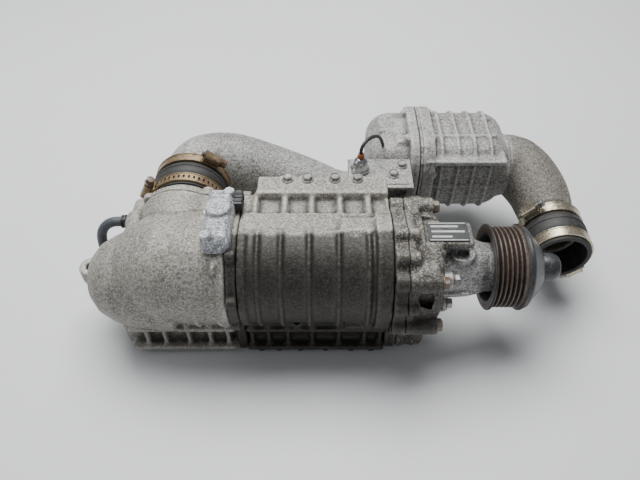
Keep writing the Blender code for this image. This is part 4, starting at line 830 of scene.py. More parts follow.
def make_manifold_casting():
    left, right = MANIFOLD
    bm = bmesh.new()
    turned(bm, "X", DRIVE, [(left + 0.010, 0.012), (left + 0.018, 0.0240), (left + 0.028, 0.0335),
                            (left + 0.040, 0.0405), (left + 0.052, 0.0445), (right, 0.0455)], steps=96)
    turned(bm, "X", (-0.001, 0.062), [(left - 0.009, 0.008), (left - 0.006, 0.0190), (left + 0.002, 0.0290),
                                      (left + 0.014, 0.0360), (left + 0.030, 0.0405),
                                      (left + 0.060, 0.0425)], steps=80)
    bar(bm, "Y", (-0.1500, 0.088), 0.0080, 0.0200, 0.0600, tip=0.0068, segments=36, edge=0.0020)
    bar(bm, "Y", (-0.0925, 0.1035), 0.0066, 0.0150, 0.0590, tip=0.0056, segments=30, edge=0.0018)
    bar(bm, "X", DRIVEN, HOUSING_RADIUS, right - 0.007, right, segments=96)
    bar(bm, "X", DRIVE, 0.0466, right - 0.005, right, segments=96)
    block(bm, (left + 0.008, -0.024, 0.0), (right, 0.062, 0.040), 0.010, along="Z")
    block(bm, (left + 0.002, -0.018, 0.014), (left + 0.045, 0.040, 0.060), 0.012)
    ladder(bm, left + 0.018, right, MANIFOLD_RUNGS)
    block(bm, (left + 0.026, -0.029, 0.034), (right, -0.016, 0.0405), 0.0025)
    for fin in (-0.1325, -0.115, -0.095, -0.077):
        arc(bm, fin, 0.0022, 0.040, 0.0475, 196, 238)
    sweep(bm, [Vector(spot) for spot in ((-0.145, -0.0300, 0.0295), (-0.1515, -0.0300, 0.0315),
                                         (-0.1560, -0.0290, 0.0370), (-0.1580, -0.0270, 0.0450))],
          [0.0022] * 4, sides=16)
    turned(bm, "Y", NECK, [(0.006, 0.030), (0.016, 0.0325), (0.030, 0.0345), (0.0400, 0.0358),
                           (0.0466, 0.0360)], steps=72)
    bar(bm, "Y", (-0.151, 0.086), 0.0085, -0.0060, 0.0464, tip=0.0085, segments=36, edge=0.0015)
    bar(bm, "Y", (-0.151, 0.086), 0.0100, 0.0330, 0.0440, segments=36, edge=0.0012)
    block(bm, (-0.160, -0.004, 0.060), (-0.142, 0.046, 0.086), 0.004)
    bar(bm, "Y", (-0.0885, 0.096), 0.0068, 0.0080, 0.0440, segments=30, edge=0.0015)
    block(bm, (-0.0935, 0.006, 0.070), (-0.0830, 0.042, 0.098), 0.003)
    block(bm, (-0.0790, -0.034, 0.080), (-0.0755, 0.020, 0.1140), 0.0012)
    block(bm, (left - 0.018, 0.001, 0.047), (left + 0.022, 0.023, 0.061), 0.0050)
    bar(bm, "Z", (left - 0.014, 0.012), 0.0098, 0.0458, 0.0622, segments=36, edge=0.001)
    block(bm, (left - 0.002, -0.010, 0.042), (left + 0.030, 0.034, 0.056), 0.006)
    cutters = bmesh.new()
    block(cutters, (-0.100, -0.080, 0.121), (-0.065, 0.080, 0.150))
    turned(cutters, "X", DRIVE, [(left + 0.030, 0.020), (left + 0.050, 0.040), (right + 0.003, 0.040)],
           steps=64)
    bar(cutters, "X", DRIVEN, HOUSING_RADIUS - 0.011, right - 0.004, right + 0.003, segments=64)
    bar(cutters, "Y", NECK, 0.0233, 0.010, 0.060, segments=64)
    bar(cutters, "Z", (-0.084, 0.012), 0.0038, 0.034, 0.130, segments=24)
    bar(cutters, "Z", (left - 0.014, 0.012), 0.0042, 0.040, 0.070, segments=32)
    return cast("manifold_casting", bm, cutters, sizes().casting_grid)


def make_gear_plate():
    left, right = GEAR_PLATE
    bm = bmesh.new()
    two_bores(bm, left, right, 0.0492, 0.0428)
    block(bm, (left, -0.028, 0.0), (right, 0.060, 0.044), 0.0015)
    for axis, radius, angle in COVER_BOLTS:
        bar(bm, "X", polar(axis, radius, angle), 0.0073, left, right, segments=28)
    for angle in (100, 122, 170, 218):
        bar(bm, "X", polar(DRIVE, 0.0480, angle), 0.0055, left, right, segments=24)
    bar(bm, "X", (-0.034, 0.044), 0.0080, left, right, segments=28)
    cutters = bmesh.new()
    for axis in (DRIVE, DRIVEN):
        bar(cutters, "X", axis, 0.0163, left + 0.0012, right + 0.003, segments=48)
        bar(cutters, "X", axis, 0.0104, left - 0.003, right + 0.003, segments=40)
    for axis, radius, angle in COVER_BOLTS:
        bar(cutters, "X", polar(axis, radius, angle), 0.0033, left - 0.003, right + 0.003, segments=20)
    return cast("gear_plate_casting", bm, cutters, sizes().fine_grid)


def make_cover_casting():
    left, right = COVER
    bm = bmesh.new()
    turned(bm, "X", DRIVE, [(left, 0.0488), (left + 0.0050, 0.0488), (left + 0.0060, 0.0462),
                            (right - 0.008, 0.0452), (right - 0.0025, 0.0435), (right, 0.0400)], steps=96)
    turned(bm, "X", DRIVEN, [(left, 0.0380), (left + 0.005, 0.0380), (right - 0.006, 0.0368),
                             (right, 0.0325)], steps=80)
    block(bm, (left, -0.026, 0.0), (right - 0.004, 0.040, 0.040), 0.003)
    block(bm, (left, -0.0275, 0.0), (left + 0.006, 0.041, 0.044), 0.0012)
    block(bm, (left + 0.0120, -0.0275, 0.0), (left + 0.0150, -0.020, 0.038), 0.001)
    block(bm, (left + 0.0010, -0.0300, 0.0210), (right - 0.005, -0.022, 0.0250), 0.001)
    block(bm, (left + 0.013, -0.0105, 0.1075), (left + 0.0505, 0.0125, 0.1145), 0.002)
    block(bm, (right - 0.006, -0.003, 0.100), (left + 0.046, 0.010, 0.109), 0.003)
    block(bm, (left + 0.004, -0.040, 0.096), (left + 0.022, -0.024, 0.113), 0.003)
    block(bm, (left + 0.001, 0.014, 0.096), (left + 0.0115, 0.030, 0.1215), 0.0025)
    bar(bm, "X", (-0.034, 0.044), 0.0080, left, right + 0.002, segments=32, edge=0.001)
    bar(bm, "X", (-0.041, 0.060), 0.0060, left, right - 0.004, segments=28, edge=0.001)
    for axis, radius, angle in COVER_BOLTS:
        bar(bm, "X", polar(axis, radius, angle), 0.0073, left, right - 0.0035, segments=32, edge=0.001)
    for angle in (100, 122, 170, 218):
        bar(bm, "X", polar(DRIVE, 0.0478, angle), 0.0050, left, left + 0.008, segments=24, edge=0.001)
    for angle in (85, 115, 168, 180, 225, 262):
        spot = polar(DRIVE, 0.0330, angle)
        block(bm, (right - 0.004, spot[0] - 0.010, spot[1] - 0.0014),
              (right + 0.0012, spot[0] + 0.010, spot[1] + 0.0014), 0.001,
              turn=Matrix.Rotation(radians(angle), 4, "X"))
    turned(bm, "X", DRIVE, [(right - 0.006, 0.0262), (right - 0.0002, 0.0262)], steps=64)
    cutters = bmesh.new()
    block(cutters, (left + 0.0125, -0.0125, 0.1147), (right + 0.030, 0.0145, 0.13), 0.0)
    two_bores(cutters, left - 0.003, right - 0.005, 0.0346, 0.033, segments=72)
    bar(cutters, "X", DRIVE, 0.013, right - 0.02, right + 0.004, segments=48)
    for axis, radius, angle in COVER_BOLTS:
        spot = polar(axis, radius, angle)
        bar(cutters, "X", spot, 0.0034, left - 0.003, right + 0.003, segments=20)
        bar(cutters, "X", spot, 0.0068, right - 0.004, right + 0.004, segments=28)
    block(cutters, (left + 0.0075, -0.0445, 0.060), (left + 0.0195, -0.0390, 0.094), 0.003)
    block(cutters, (left + 0.0075, -0.0290, 0.0275), (left + 0.0110, -0.0235, 0.040), 0.001)
    bar(cutters, "X", (-0.034, 0.044), 0.0030, right - 0.006, right + 0.004, segments=20)
    bar(cutters, "Y", (left + 0.013, 0.1065), 0.0024, -0.044, -0.036, segments=20)
    return cast("cover_casting", bm, cutters, sizes().fine_grid * 1.15)


def make_snout_casting():
    left, right = SNOUT
    bm = bmesh.new()
    turned(bm, "X", DRIVE, [(left, 0.0245), (left + 0.014, 0.0243), (left + 0.024, 0.0236),
                            (left + 0.032, 0.0218), (left + 0.038, 0.0196), (right, 0.0194)], steps=72)
    for angle in SNOUT_BOLTS:
        spot = polar(DRIVE, 0.0290, angle)
        inner = polar(DRIVE, 0.0190, angle)
        bar(bm, "X", spot, 0.0068, left, left + 0.008, segments=28, edge=0.001)
        bar(bm, "X", inner, 0.0066, left, left + 0.0075, segments=28)
    for angle in (95, 185, 270):
        spot = polar(DRIVE, 0.0235, angle)
        block(bm, (left, spot[0] - 0.0035, spot[1] - 0.0015),
              (left + 0.024, spot[0] + 0.0020, spot[1] + 0.0015), 0.001,
              turn=Matrix.Rotation(radians(angle), 4, "X"))
    block(bm, (left + 0.0075, -0.0148, 0.0915), (left + 0.0265, 0.0012, 0.0998), 0.0075,
          along="Z", segments=6)
    cutters = bmesh.new()
    bar(cutters, "X", DRIVE, 0.0163, left - 0.003, right + 0.003, segments=64)
    block(cutters, (left + 0.0125, -0.0098, 0.0965), (left + 0.0215, -0.0038, 0.105), 0.0029,
          along="Z", segments=6)
    for angle in SNOUT_BOLTS:
        bar(cutters, "X", polar(DRIVE, 0.0290, angle), 0.0033, left + 0.001, left + 0.010, segments=20)
    return cast("snout_casting", bm, cutters, sizes().fine_grid * 0.9, smoothing=2)


def make_neck_casting():
    bm = bmesh.new()
    turned(bm, "Y", NECK, [(0.0471, 0.0359), (0.0518, 0.0359), (0.0530, 0.0322), (0.0560, 0.0310),
                           (0.0588, 0.0308), (0.0592, 0.0267), (0.0788, 0.0267)], steps=72)
    for angle in (50, 140, 230, 320):
        spot = (NECK[0] + 0.0335 * cos(radians(angle)), NECK[1] + 0.0335 * sin(radians(angle)))
        bar(bm, "Y", spot, 0.0055, 0.0471, 0.0530, segments=24, edge=0.001)
    cutters = bmesh.new()
    bar(cutters, "Y", NECK, 0.0233, 0.040, 0.090, segments=64)
    return cast("neck_casting", bm, cutters, sizes().fine_grid)


def across_silencer(side, half, grow):
    return [middle + side * (reach + grow) for middle, reach in zip(SILENCER, half)]


def silencer_bar(bm, left, right, grow, along="X"):
    """A bar of the silencer's section, grown outwards."""
    block(bm, (left, *across_silencer(-1, SILENCER_HALF, grow)),
          (right, *across_silencer(1, SILENCER_HALF, grow)), SILENCER_CORNER + grow, along=along, segments=6)


def silencer_hollow(bm, left, right, along=None):
    block(bm, (left, *across_silencer(-1, SILENCER_HOLLOW, 0)),
          (right, *across_silencer(1, SILENCER_HOLLOW, 0)), 0.0185, along=along, segments=6)


def flange_bosses(bm, low, high):
    """Screw bosses round the joint of the two shells."""
    for angle in (20, 65, 112, 160, 205, 250, 295, 340):
        spot = polar(SILENCER, 0.047, angle)
        spot = (max(min(spot[0], SILENCER[0] + 0.0396), SILENCER[0] - 0.0396),
                max(min(spot[1], SILENCER[1] + 0.0380), SILENCER[1] - 0.0380))
        bar(bm, "X", spot, 0.0037, low, high, segments=20, edge=0.0008)


def make_left_shell():
    bm = bmesh.new()
    silencer_bar(bm, SILENCER_LEFT, 0.140, 0, along=None)
    silencer_bar(bm, 0.0792, LEFT_SHELL_END, SILENCER_FLANGE)
    flange_bosses(bm, 0.0750, 0.0877)
    bar(bm, "X", PORT, 0.0288, 0.0432, 0.084, segments=64)
    block(bm, (0.066, 0.110, 0.098), (0.086, 0.148, 0.1130), 0.004)
    block(bm, (0.052, 0.128, 0.100), (0.070, 0.133, 0.1125), 0.002)
    cutters = bmesh.new()
    block(cutters, (LEFT_SHELL_END, 0.060, -0.010), (0.160, 0.200, 0.160))
    silencer_hollow(cutters, SILENCER_LEFT + SILENCER_WALL, 0.140)
    bar(cutters, "X", PORT, 0.0228, 0.040, 0.0805, segments=64)
    return cast("left_shell_casting", bm, cutters, sizes().casting_grid)


def make_right_shell():
    bm = bmesh.new()
    left, right = RIGHT_SHELL_START, SILENCER_RIGHT
    silencer_bar(bm, left, right, 0, along=None)
    silencer_bar(bm, left, left + 0.030, 0)
    silencer_bar(bm, left, left + 0.0105, SILENCER_FLANGE)
    for rib in SHELL_RIBS:
        silencer_bar(bm, rib, rib + 0.0026, 0.0022)
    top = SILENCER[1] + SILENCER_HALF[1]
    block(bm, (left + 0.002, 0.1195, top - 0.010), (0.1580, 0.1227, top + 0.0020), 0.0010)
    block(bm, (left + 0.002, 0.1450, top - 0.010), (0.1580, 0.1478, top + 0.0015), 0.0010)
    front = SILENCER[0] - SILENCER_HALF[0]
    block(bm, (left + 0.002, front - 0.0016, 0.0735), (0.1580, front + 0.006, 0.0765), 0.0010)
    block(bm, (left + 0.002, front - 0.0030, 0.1000), (0.1640, front + 0.020, 0.1050), 0.0016)
    turned(bm, "X", OUTLET, [(0.160, 0.0310), (0.1700, 0.0292), (0.1719, 0.0286)], steps=64)
    flange_bosses(bm, 0.0907, 0.1030)
    cutters = bmesh.new()
    silencer_hollow(cutters, 0.080, SILENCER_RIGHT - SILENCER_WALL)
    silencer_hollow(cutters, 0.080, 0.110, along="X")
    bar(cutters, "X", OUTLET, 0.0236, 0.150, 0.182, segments=64)
    return cast("right_shell_casting", bm, cutters, sizes().fine_grid, smoothing=2)


def pipe_casting(name, route, radii, seam):
    """A cast pipe with the raised line of its mould joint along one side."""
    points, spans = eased(route, radii, per=6)
    bm = bmesh.new()
    sweep(bm, points, spans, sides=64)
    direction = Vector(seam).normalized()
    ridge = []
    for (turn, point), span in zip(stations(points), spans):
        run = turn.to_3x3() @ Vector((0, 0, 1))
        out = (direction - run * direction.dot(run)).normalized()
        ridge.append(point + out * (span - 0.0004))
    count = len(ridge)
    sweep(bm, ridge[6:count - 12], [0.0014] * (count - 18), sides=12)
    cutters = bmesh.new()
    run = (points[1] - points[0]).normalized() * 0.004
    exit_run = (points[-1] - points[-2]).normalized() * 0.004
    sweep(cutters, [points[0] - run, *points, points[-1] + exit_run],
          [spans[0] - PIPE_WALL, *(span - PIPE_WALL for span in spans), spans[-1] - PIPE_WALL], sides=64)
    return cast(name, bm, cutters, sizes().casting_grid)


def make_actuator():
    left, right = -0.0860, -0.0645
    bm = bmesh.new()
    block(bm, (left, -0.022, 0.104), (right, 0.034, 0.1290), 0.0045)
    block(bm, (left + 0.002, -0.0195, 0.120), (right - 0.002, 0.0315, 0.1310), 0.003)
    bar(bm, "Z", (-0.0755, 0.010), 0.0098, 0.118, 0.1345, segments=40, edge=0.0025)
    bar(bm, "Z", (-0.0820, -0.0165), 0.0042, 0.110, 0.1325, segments=24, edge=0.001)
    bar(bm, "Z", (-0.0690, 0.0285), 0.0040, 0.110, 0.1325, segments=24, edge=0.001)
    block(bm, (left + 0.001, -0.020, 0.116), (right - 0.0005, 0.033, 0.1185), 0.001)
    for y in (-0.009, -0.003, 0.023, 0.028):
        block(bm, (left + 0.004, y - 0.0009, 0.128), (right - 0.004, y + 0.0009, 0.1322), 0.0006)
    cutters = bmesh.new()
    bar(cutters, "X", DRIVE, 0.0465, left - 0.01, right + 0.01, segments=96)
    block(cutters, (-0.0698, -0.035, 0.090), (right + 0.01, 0.050, 0.1175))
    bar(cutters, "Y", NECK, 0.0370, 0.005, 0.057, segments=64)
    return cast("actuator_casting", bm, cutters, sizes().fine_grid * 0.85, smoothing=2)


# ---- turned, swept and pressed pieces ------------------------------------------------------------
def make_pulley():
    start, pitch, crest, root = PULLEY_START, GROOVE_PITCH, 0.03225, 0.02965
    outline = [(start + 0.0003, 0.0337), (start + 0.0009, 0.0345), (start + 0.0017, 0.0345),
               (start + 0.0022, 0.0340)]
    first = start + 0.6 * pitch   # past the flange
    for groove in range(GROOVES):
        left = first + groove * pitch
        outline += [(left + 0.05 * pitch, crest), (left + 0.15 * pitch, crest),
                    (left + 0.44 * pitch, root + 0.0003), (left + 0.50 * pitch, root),
                    (left + 0.56 * pitch, root + 0.0003), (left + 0.85 * pitch, crest),
                    (left + 0.95 * pitch, crest + 0.00008)]
    end = start + (GROOVES + 1.6) * pitch
    outline += [(end - 0.0024, 0.0338), (end - 0.0018, 0.0345), (end - 0.0007, 0.0345), (end, 0.0338)]
    rim, bore = 0.0266, 0.0087
    inside = [(end, bore), (end - 0.006, bore), (end - 0.006, 0.0135), (end - 0.0052, 0.0145),
              (end - 0.0052, rim - 0.002), (end - 0.0060, rim - 0.0008), (start + 0.002, rim),
              (start + 0.0003, rim + 0.0008)]
    bm = bmesh.new()
    turned(bm, "X", DRIVE, outline + inside, ring=True, steps=128)
    return solid("grooved_pulley", bm)


def make_pulley_hub():
    start, end = 0.15836, 0.17386
    bm = bmesh.new()
    turned(bm, "X", DRIVE, [
        (start, 0.0087), (start, 0.0330), (start + 0.0014, 0.0333), (start + 0.0026, 0.0328),
        (start + 0.0040, 0.0312), (start + 0.0058, 0.0290), (start + 0.0080, 0.0266),
        (start + 0.0105, 0.0238), (start + 0.0130, 0.0208), (start + 0.0146, 0.0186),
        (end, 0.0165), (end, 0.0087)], ring=True, steps=96)
    return solid("pulley_hub", bm)


def make_pulley_cap():
    low, high = 0.17416, 0.19016
    bm = bmesh.new()
    turned(bm, "X", DRIVE, [
        (low, 0.0108), (low + 0.0008, 0.0112), (low + 0.0100, 0.0112), (low + 0.0115, 0.0108),
        (low + 0.0122, 0.0104), (high - 0.0022, 0.0100), (high - 0.0008, 0.0088), (high - 0.0002, 0.0070),
        (high - 0.0010, 0.0052), (high - 0.0036, 0.0046), (high - 0.0040, 0.0020)], steps=64)
    return solid("hub_cap", bm)


def hexagon_bolt(bm, axis, centre, seat, head=0.0050, tall=0.0046, turn=0.0):
    """A flanged hexagon head with a dished top, and the start of its shank."""
    matrix = Matrix.Translation(on_axis(axis, centre, seat)) @ AXIS_TURN[axis]
    before = set(bm.verts)
    turned(bm, "Z", (0, 0), [(-0.003, 0.0029), (0.00025, 0.0030), (0.0003, head * 1.22),
                             (0.0009, head * 1.24), (0.0015, head * 1.02)], steps=28)
    made = bmesh.ops.create_cone(bm, cap_ends=True, segments=6, radius1=head, radius2=head,
                                 depth=tall - 0.0008, matrix=Matrix.Translation((0, 0, (tall + 0.0008) / 2))
                                 @ Matrix.Rotation(radians(turn), 4, "Z"))
    faces = {face for vert in made["verts"] for face in vert.link_faces}
    for face in faces:
        face.normal_update()
    top = max(faces, key=lambda face: face.calc_center_median().z)
    bmesh.ops.inset_region(bm, faces=[top], thickness=head * 0.16, depth=0.0006)
    bmesh.ops.inset_region(bm, faces=[top], thickness=head * 0.16, depth=-0.0007)
    bmesh.ops.transform(bm, matrix=matrix, verts=[v for v in bm.verts if v not in before])


def screw_in(name, axis, centre, seat, finish, *nodes, **head):
    """One bolt as a finished piece on the casing."""
    bm = bmesh.new()
    hexagon_bolt(bm, axis, centre, seat, **head)
    finished(solid(name, bm), CASING, finish, "bolt_steel", *nodes, sharp=30)


def make_sleeve(name, centre, start, length, inner):
    """A rubber sleeve with thick ends, a belly and the fine lines of its mould."""
    outer, end = inner + 0.0040, start + length
    middle = (start + end) / 2
    outline = [(start + 0.0002, outer - 0.0006), (start + 0.0008, outer - 0.0001), (start + 0.0120, outer),
               (start + 0.0132, outer + 0.0010), (middle - 0.0036, outer + 0.0019),
               (middle - 0.0016, outer + 0.0021), (middle - 0.0010, outer + 0.0015),
               (middle + 0.0010, outer + 0.0015), (middle + 0.0016, outer + 0.0021),
               (middle + 0.0036, outer + 0.0019), (end - 0.0132, outer + 0.0010), (end - 0.0120, outer),
               (end - 0.0008, outer - 0.0001), (end - 0.0002, outer - 0.0006),
               (end, inner + 0.0010), (end - 0.0006, inner), (start + 0.0006, inner),
               (start, inner + 0.0010)]
    bm = bmesh.new()
    turned(bm, "Y", centre, outline, ring=True, steps=96)
    return solid(name, bm)


def make_band(name, centre, y, inner, screw_angle, slotted):
    """A worm-drive band, slotted or plain, with rolled edges, and the housing of its screw."""
    width, wall, columns = BAND_WIDTH, BAND_WALL, 96
    bm = bmesh.new()
    rows = [y, y + 0.0026, y + width - 0.0026, y + width]
    first = [bm.verts.new((inner, 0.0, row)) for row in rows]
    edges = [bm.edges.new(pair) for pair in zip(first, first[1:])]
    bmesh.ops.spin(bm, geom=first + edges, axis=(0, 0, 1), cent=(0, 0, 0), angle=2 * pi, steps=columns,
                   use_merge=True)
    bmesh.ops.remove_doubles(bm, verts=bm.verts, dist=SAME_POINT)
    bmesh.ops.recalc_face_normals(bm, faces=bm.faces)
    middle = sorted((face for face in bm.faces if abs(face.calc_center_median().z - y - width / 2) < 0.001),
                    key=lambda face: np.arctan2(face.calc_center_median().y, face.calc_center_median().x))
    if slotted:
        slots = middle[::2]
        bmesh.ops.inset_individual(bm, faces=slots, thickness=0.00022)
        bmesh.ops.delete(bm, geom=slots, context="FACES")
    bmesh.ops.solidify(bm, geom=bm.faces[:], thickness=-wall)
    matrix = Matrix.Translation(on_axis("Y", centre, 0.0)) @ AXIS_TURN["Y"]
    bmesh.ops.transform(bm, matrix=matrix, verts=bm.verts)
    outer = inner + wall
    for edge in (y - 0.0002, y + width - 0.0010):
        turned(bm, "Y", centre, [(edge, outer - 0.0004), (edge + 0.0012, outer - 0.0004),
                                 (edge + 0.0010, outer + 0.0005), (edge + 0.0002, outer + 0.0005)],
               ring=True, steps=columns)
    low, high = y - 0.0004, y + width + 0.0004
    before = set(bm.verts)
    block(bm, (-0.0074, low, outer - 0.0005), (0.0074, high, outer + 0.0010), 0.0004)
    block(bm, (-0.0070, low + 0.0004, outer + 0.0006), (0.0062, high - 0.0004, outer + 0.0082), 0.0024,
          along="X", segments=5)
    block(bm, (-0.0070, low + 0.0001, outer + 0.0006), (-0.0048, high - 0.0001, outer + 0.0084), 0.0024,
          along="X", segments=5)
    block(bm, (0.0044, low + 0.0001, outer + 0.0006), (0.0066, high - 0.0001, outer + 0.0084), 0.0024,
          along="X", segments=5)
    turn = Matrix.Translation((centre[0], 0, centre[1])) @ Matrix.Rotation(radians(screw_angle), 4, "Y")
    bmesh.ops.transform(bm, matrix=turn, verts=[vert for vert in bm.verts if vert not in before])
    return solid(name, bm)


def make_worm_screw(name, centre, y, inner, screw_angle):
    """The band's screw: worm threads, a hexagon head and its flange."""
    level = inner + 0.0012 + 0.0048
    middle = y + BAND_WIDTH / 2
    bm = bmesh.new()
    outline = [(-0.0098, 0.0012), (-0.0096, 0.0020)]
    for thread in range(8):
        at = -0.0094 + thread * 0.0013
        outline += [(at, 0.0017), (at + 0.0004, 0.0022), (at + 0.0009, 0.0022)]
    outline += [(0.0074, 0.0021), (0.0076, 0.0042), (0.0084, 0.0043), (0.0088, 0.0036)]
    turned(bm, "X", (middle, level), outline, steps=28)
    made = bmesh.ops.create_cone(bm, cap_ends=True, segments=6, radius1=0.0037, radius2=0.0037, depth=0.0050,
                                 matrix=Matrix.Translation((0.0108, middle, level)) @ AXIS_TURN["X"])
    bevelled(bm, made["verts"], 0.0004, 2)
    turn = Matrix.Translation((centre[0], 0, centre[1])) @ Matrix.Rotation(radians(screw_angle), 4, "Y")
    bmesh.ops.transform(bm, matrix=turn, verts=bm.verts)
    return solid(name, bm)


def make_bracket():
    bm = bmesh.new()
    block(bm, (0.024, 0.0583, 0.104), (0.078, 0.0950, 0.107), 0.0009)
    block(bm, (0.066, 0.0924, 0.070), (0.078, 0.0952, 0.1066), 0.0009)
    block(bm, (0.024, 0.0583, 0.094), (0.052, 0.0608, 0.1066), 0.0009)
    block(bm, (0.028, 0.0620, 0.1066), (0.074, 0.0660, 0.1078), 0.0005)
    for spot in ((0.062, 0.0740), (0.070, 0.0860)):
        hexagon_bolt(bm, "Z", spot, 0.1068, head=0.0040, tall=0.0036, turn=17)
    return solid("bracket_plate", bm)


def make_sensor():
    seat = 0.1073
    bm = bmesh.new()
    turned(bm, "Z", SENSOR, [
        (seat, 0.0074), (seat + 0.0006, 0.0078), (seat + 0.0026, 0.0078), (seat + 0.0032, 0.0070),
        (seat + 0.0036, 0.0066), (seat + 0.0080, 0.0064), (seat + 0.0096, 0.0060), (seat + 0.0112, 0.0050),
        (seat + 0.0124, 0.0036), (seat + 0.0134, 0.0022)], steps=56)
    return solid("sensor_body", bm)


def make_sensor_seal():
    bm = bmesh.new()
    turned(bm, "Z", SENSOR, [(0.1211, 0.0024), (0.1214, 0.0030), (0.1226, 0.0030), (0.1232, 0.0026),
                                     (0.1249, 0.0025)], steps=40)
    return solid("sensor_seal", bm)


def make_lead(name, route, radius, sides=20):
    points, spans = eased(route, [radius] * len(route), per=5)
    bm = bmesh.new()
    sweep(bm, points, spans, sides=sides)
    return solid(name, bm)


def make_connector():
    right = -0.0706
    bm = bmesh.new()
    block(bm, (right + 0.0004, 0.0180, 0.1185), (right + 0.0118, 0.0330, 0.1275), 0.0012)
    block(bm, (right + 0.0030, 0.0172, 0.1200), (right + 0.0048, 0.0338, 0.1260), 0.0006)
    for y in (0.0215, 0.0255, 0.0295):
        block(bm, (right + 0.0040, y - 0.0007, 0.1268), (right + 0.0112, y + 0.0007, 0.1282), 0.0004)
    made = solid("connector_housing", bm)
    mouth = bmesh.new()
    block(mouth, (right + 0.0060, 0.0200, 0.1203), (right + 0.0140, 0.0310, 0.1257), 0.0006)
    tool = solid("connector_mouth", mouth)
    take_out(made, tool, "EXACT").use_self = True
    made = settle(made)
    discard(tool)
    return made


def make_gland():
    bm = bmesh.new()
    turned(bm, "X", (0.0445, 0.081), [
        (-0.1669, 0.0050), (-0.1666, 0.0056), (-0.1654, 0.0056), (-0.1651, 0.0050), (-0.1642, 0.0050),
        (-0.1639, 0.0058), (-0.1626, 0.0058), (-0.1623, 0.0052), (-0.1614, 0.0052), (-0.1611, 0.0061),
        (-0.1599, 0.0062)], steps=40)
    return solid("cable_boot", bm)


def make_cable_wires():
    """The cut end's coloured cores, which stand a little out of the sleeving."""
    end = Vector(CABLE_ROUTE[-1])
    run = (end - Vector(CABLE_ROUTE[-2])).normalized()
    side = run.orthogonal().normalized()
    wires = []
    for number, (name, finish) in enumerate((("yellow_core", "yellow core"), ("red_core", "red core"),
                                             ("green_core", "green core"))):
        lean = Matrix.Rotation(radians(120 * number), 3, run) @ side
        root = end + lean * 0.0019
        route = [root - run * 0.0020, root + run * 0.0005, root + run * 0.0022 + lean * 0.0004,
                 root + run * 0.0036 + lean * 0.0010]
        wire = make_lead(name, route, 0.0011, sides=14)
        wires.append(finished(wire, CASING, finish, "cable_sleeving", sharp=40))
    return wires


def make_label():
    """The rating plate, left plain: two frame lines and three bars in place of any marking."""
    low = 0.1148
    bm = bmesh.new()
    block(bm, (0.0806, -0.0085, low), (0.1111, 0.0105, low + 0.0007), 0.0013, along="Z", segments=4)
    plate = solid("rating_plate", bm)
    printed = bmesh.new()
    top = low + 0.0007
    for y, x_low, x_high in ((0.0062, 0.0835, 0.1040), (0.0010, 0.0835, 0.1085), (-0.0042, 0.0835, 0.0985)):
        block(printed, (x_low, y - 0.0009, top - 0.0001), (x_high, y + 0.0009, top + 0.00012), 0.0)
    for y in (-0.0077, 0.0093):
        block(printed, (0.0818, y - 0.0002, top - 0.0001), (0.1099, y + 0.0006, top + 0.00012), 0.0)
    bars = solid("rating_plate_bars", printed)
    return plate, bars


# ---- operators: one for each piece or group of like pieces ---------------------------------------
FLOOR_REACH, FLOOR_GAP = 4.0, 0.0004
ROOM_TINT, ROOM_LIGHT = (0.93, 0.95, 1.0, 1.0), 0.19
SENSOR_WIDTH = 36.0   # of the camera, in millimetres
LAMPS = (   # name, place, aim, size, watts and tint
    ("ceiling", (-0.12, 0.44, 1.30), (0.0, 0.02, 0.05), (1.2, 0.9), 36.0, (1.0, 1.0, 1.0)),
    ("window", (-1.25, -0.05, 0.75), (0.0, 0.0, 0.06), (0.8, 0.7), 2.5, (0.96, 0.98, 1.0)),
    ("front", (0.35, -1.30, 0.65), (0.0, 0.0, 0.05), (1.0, 0.5), 0.6, (1.0, 0.99, 0.98)),
)


class SUPERCHARGER_OT_stage(bpy.types.Operator):
    """Make the floor, the studio lights and the camera"""

    bl_idname = "supercharger.stage"
    bl_label = "Stage"

    def execute(self, context):
        s = sizes()
        bm = bmesh.new()
        bmesh.ops.create_grid(bm, x_segments=1, y_segments=1, size=FLOOR_REACH)
        bmesh.ops.translate(bm, vec=(0, 0, -FLOOR_GAP), verts=bm.verts)
        mesh = bpy.data.meshes.new("floor")
        bm.to_mesh(mesh)
        bm.free()
        floor = bpy.data.objects.new("floor", mesh)
        bpy.context.scene.collection.objects.link(floor)
        mat, tree, shader, place = blank_finish("studio floor")
        cloud = noise(tree, place, 1.3, 3.0, 0.5)
        tone = between(tree, cloud, 0.3, 0.7, 0.97, 1.03)
        colour = scaled(tree, colours().floor[:], tone)
        tree.links.new(colour, shader.inputs["Base Color"])
        shader.inputs["Roughness"].default_value = 0.55
        floor.data.materials.append(mat)
        for name, place, aim, size, power, tint in LAMPS:
            data = bpy.data.lights.new(name, "AREA")
            data.shape, data.size, data.size_y, data.energy, data.color = "RECTANGLE", *size, power, tint
            lamp = bpy.data.objects.new(name, data)
            lamp.location = place
            lamp.rotation_euler = (Vector(aim) - Vector(place)).to_track_quat("-Z", "Y").to_euler()
            bpy.context.scene.collection.objects.link(lamp)
        world = bpy.data.worlds.new("studio")
        world.use_nodes = True
        world.node_tree.nodes["Background"].inputs["Color"].default_value = ROOM_TINT
        world.node_tree.nodes["Background"].inputs["Strength"].default_value = ROOM_LIGHT
        bpy.context.scene.world = world
        data = bpy.data.cameras.new("camera")
        data.lens, data.sensor_width = s.focal_length, SENSOR_WIDTH
        data.clip_start, data.clip_end = 0.01, 20.0
        camera = bpy.data.objects.new("camera", data)
        camera.location = TO_FRAME @ Vector((0.0, -s.camera_back, s.camera_height))
        camera.rotation_euler = (s.camera_tilt, 0.0, 0.0)
        bpy.context.scene.collection.objects.link(camera)
        bpy.context.scene.camera = camera
        return {"FINISHED"}


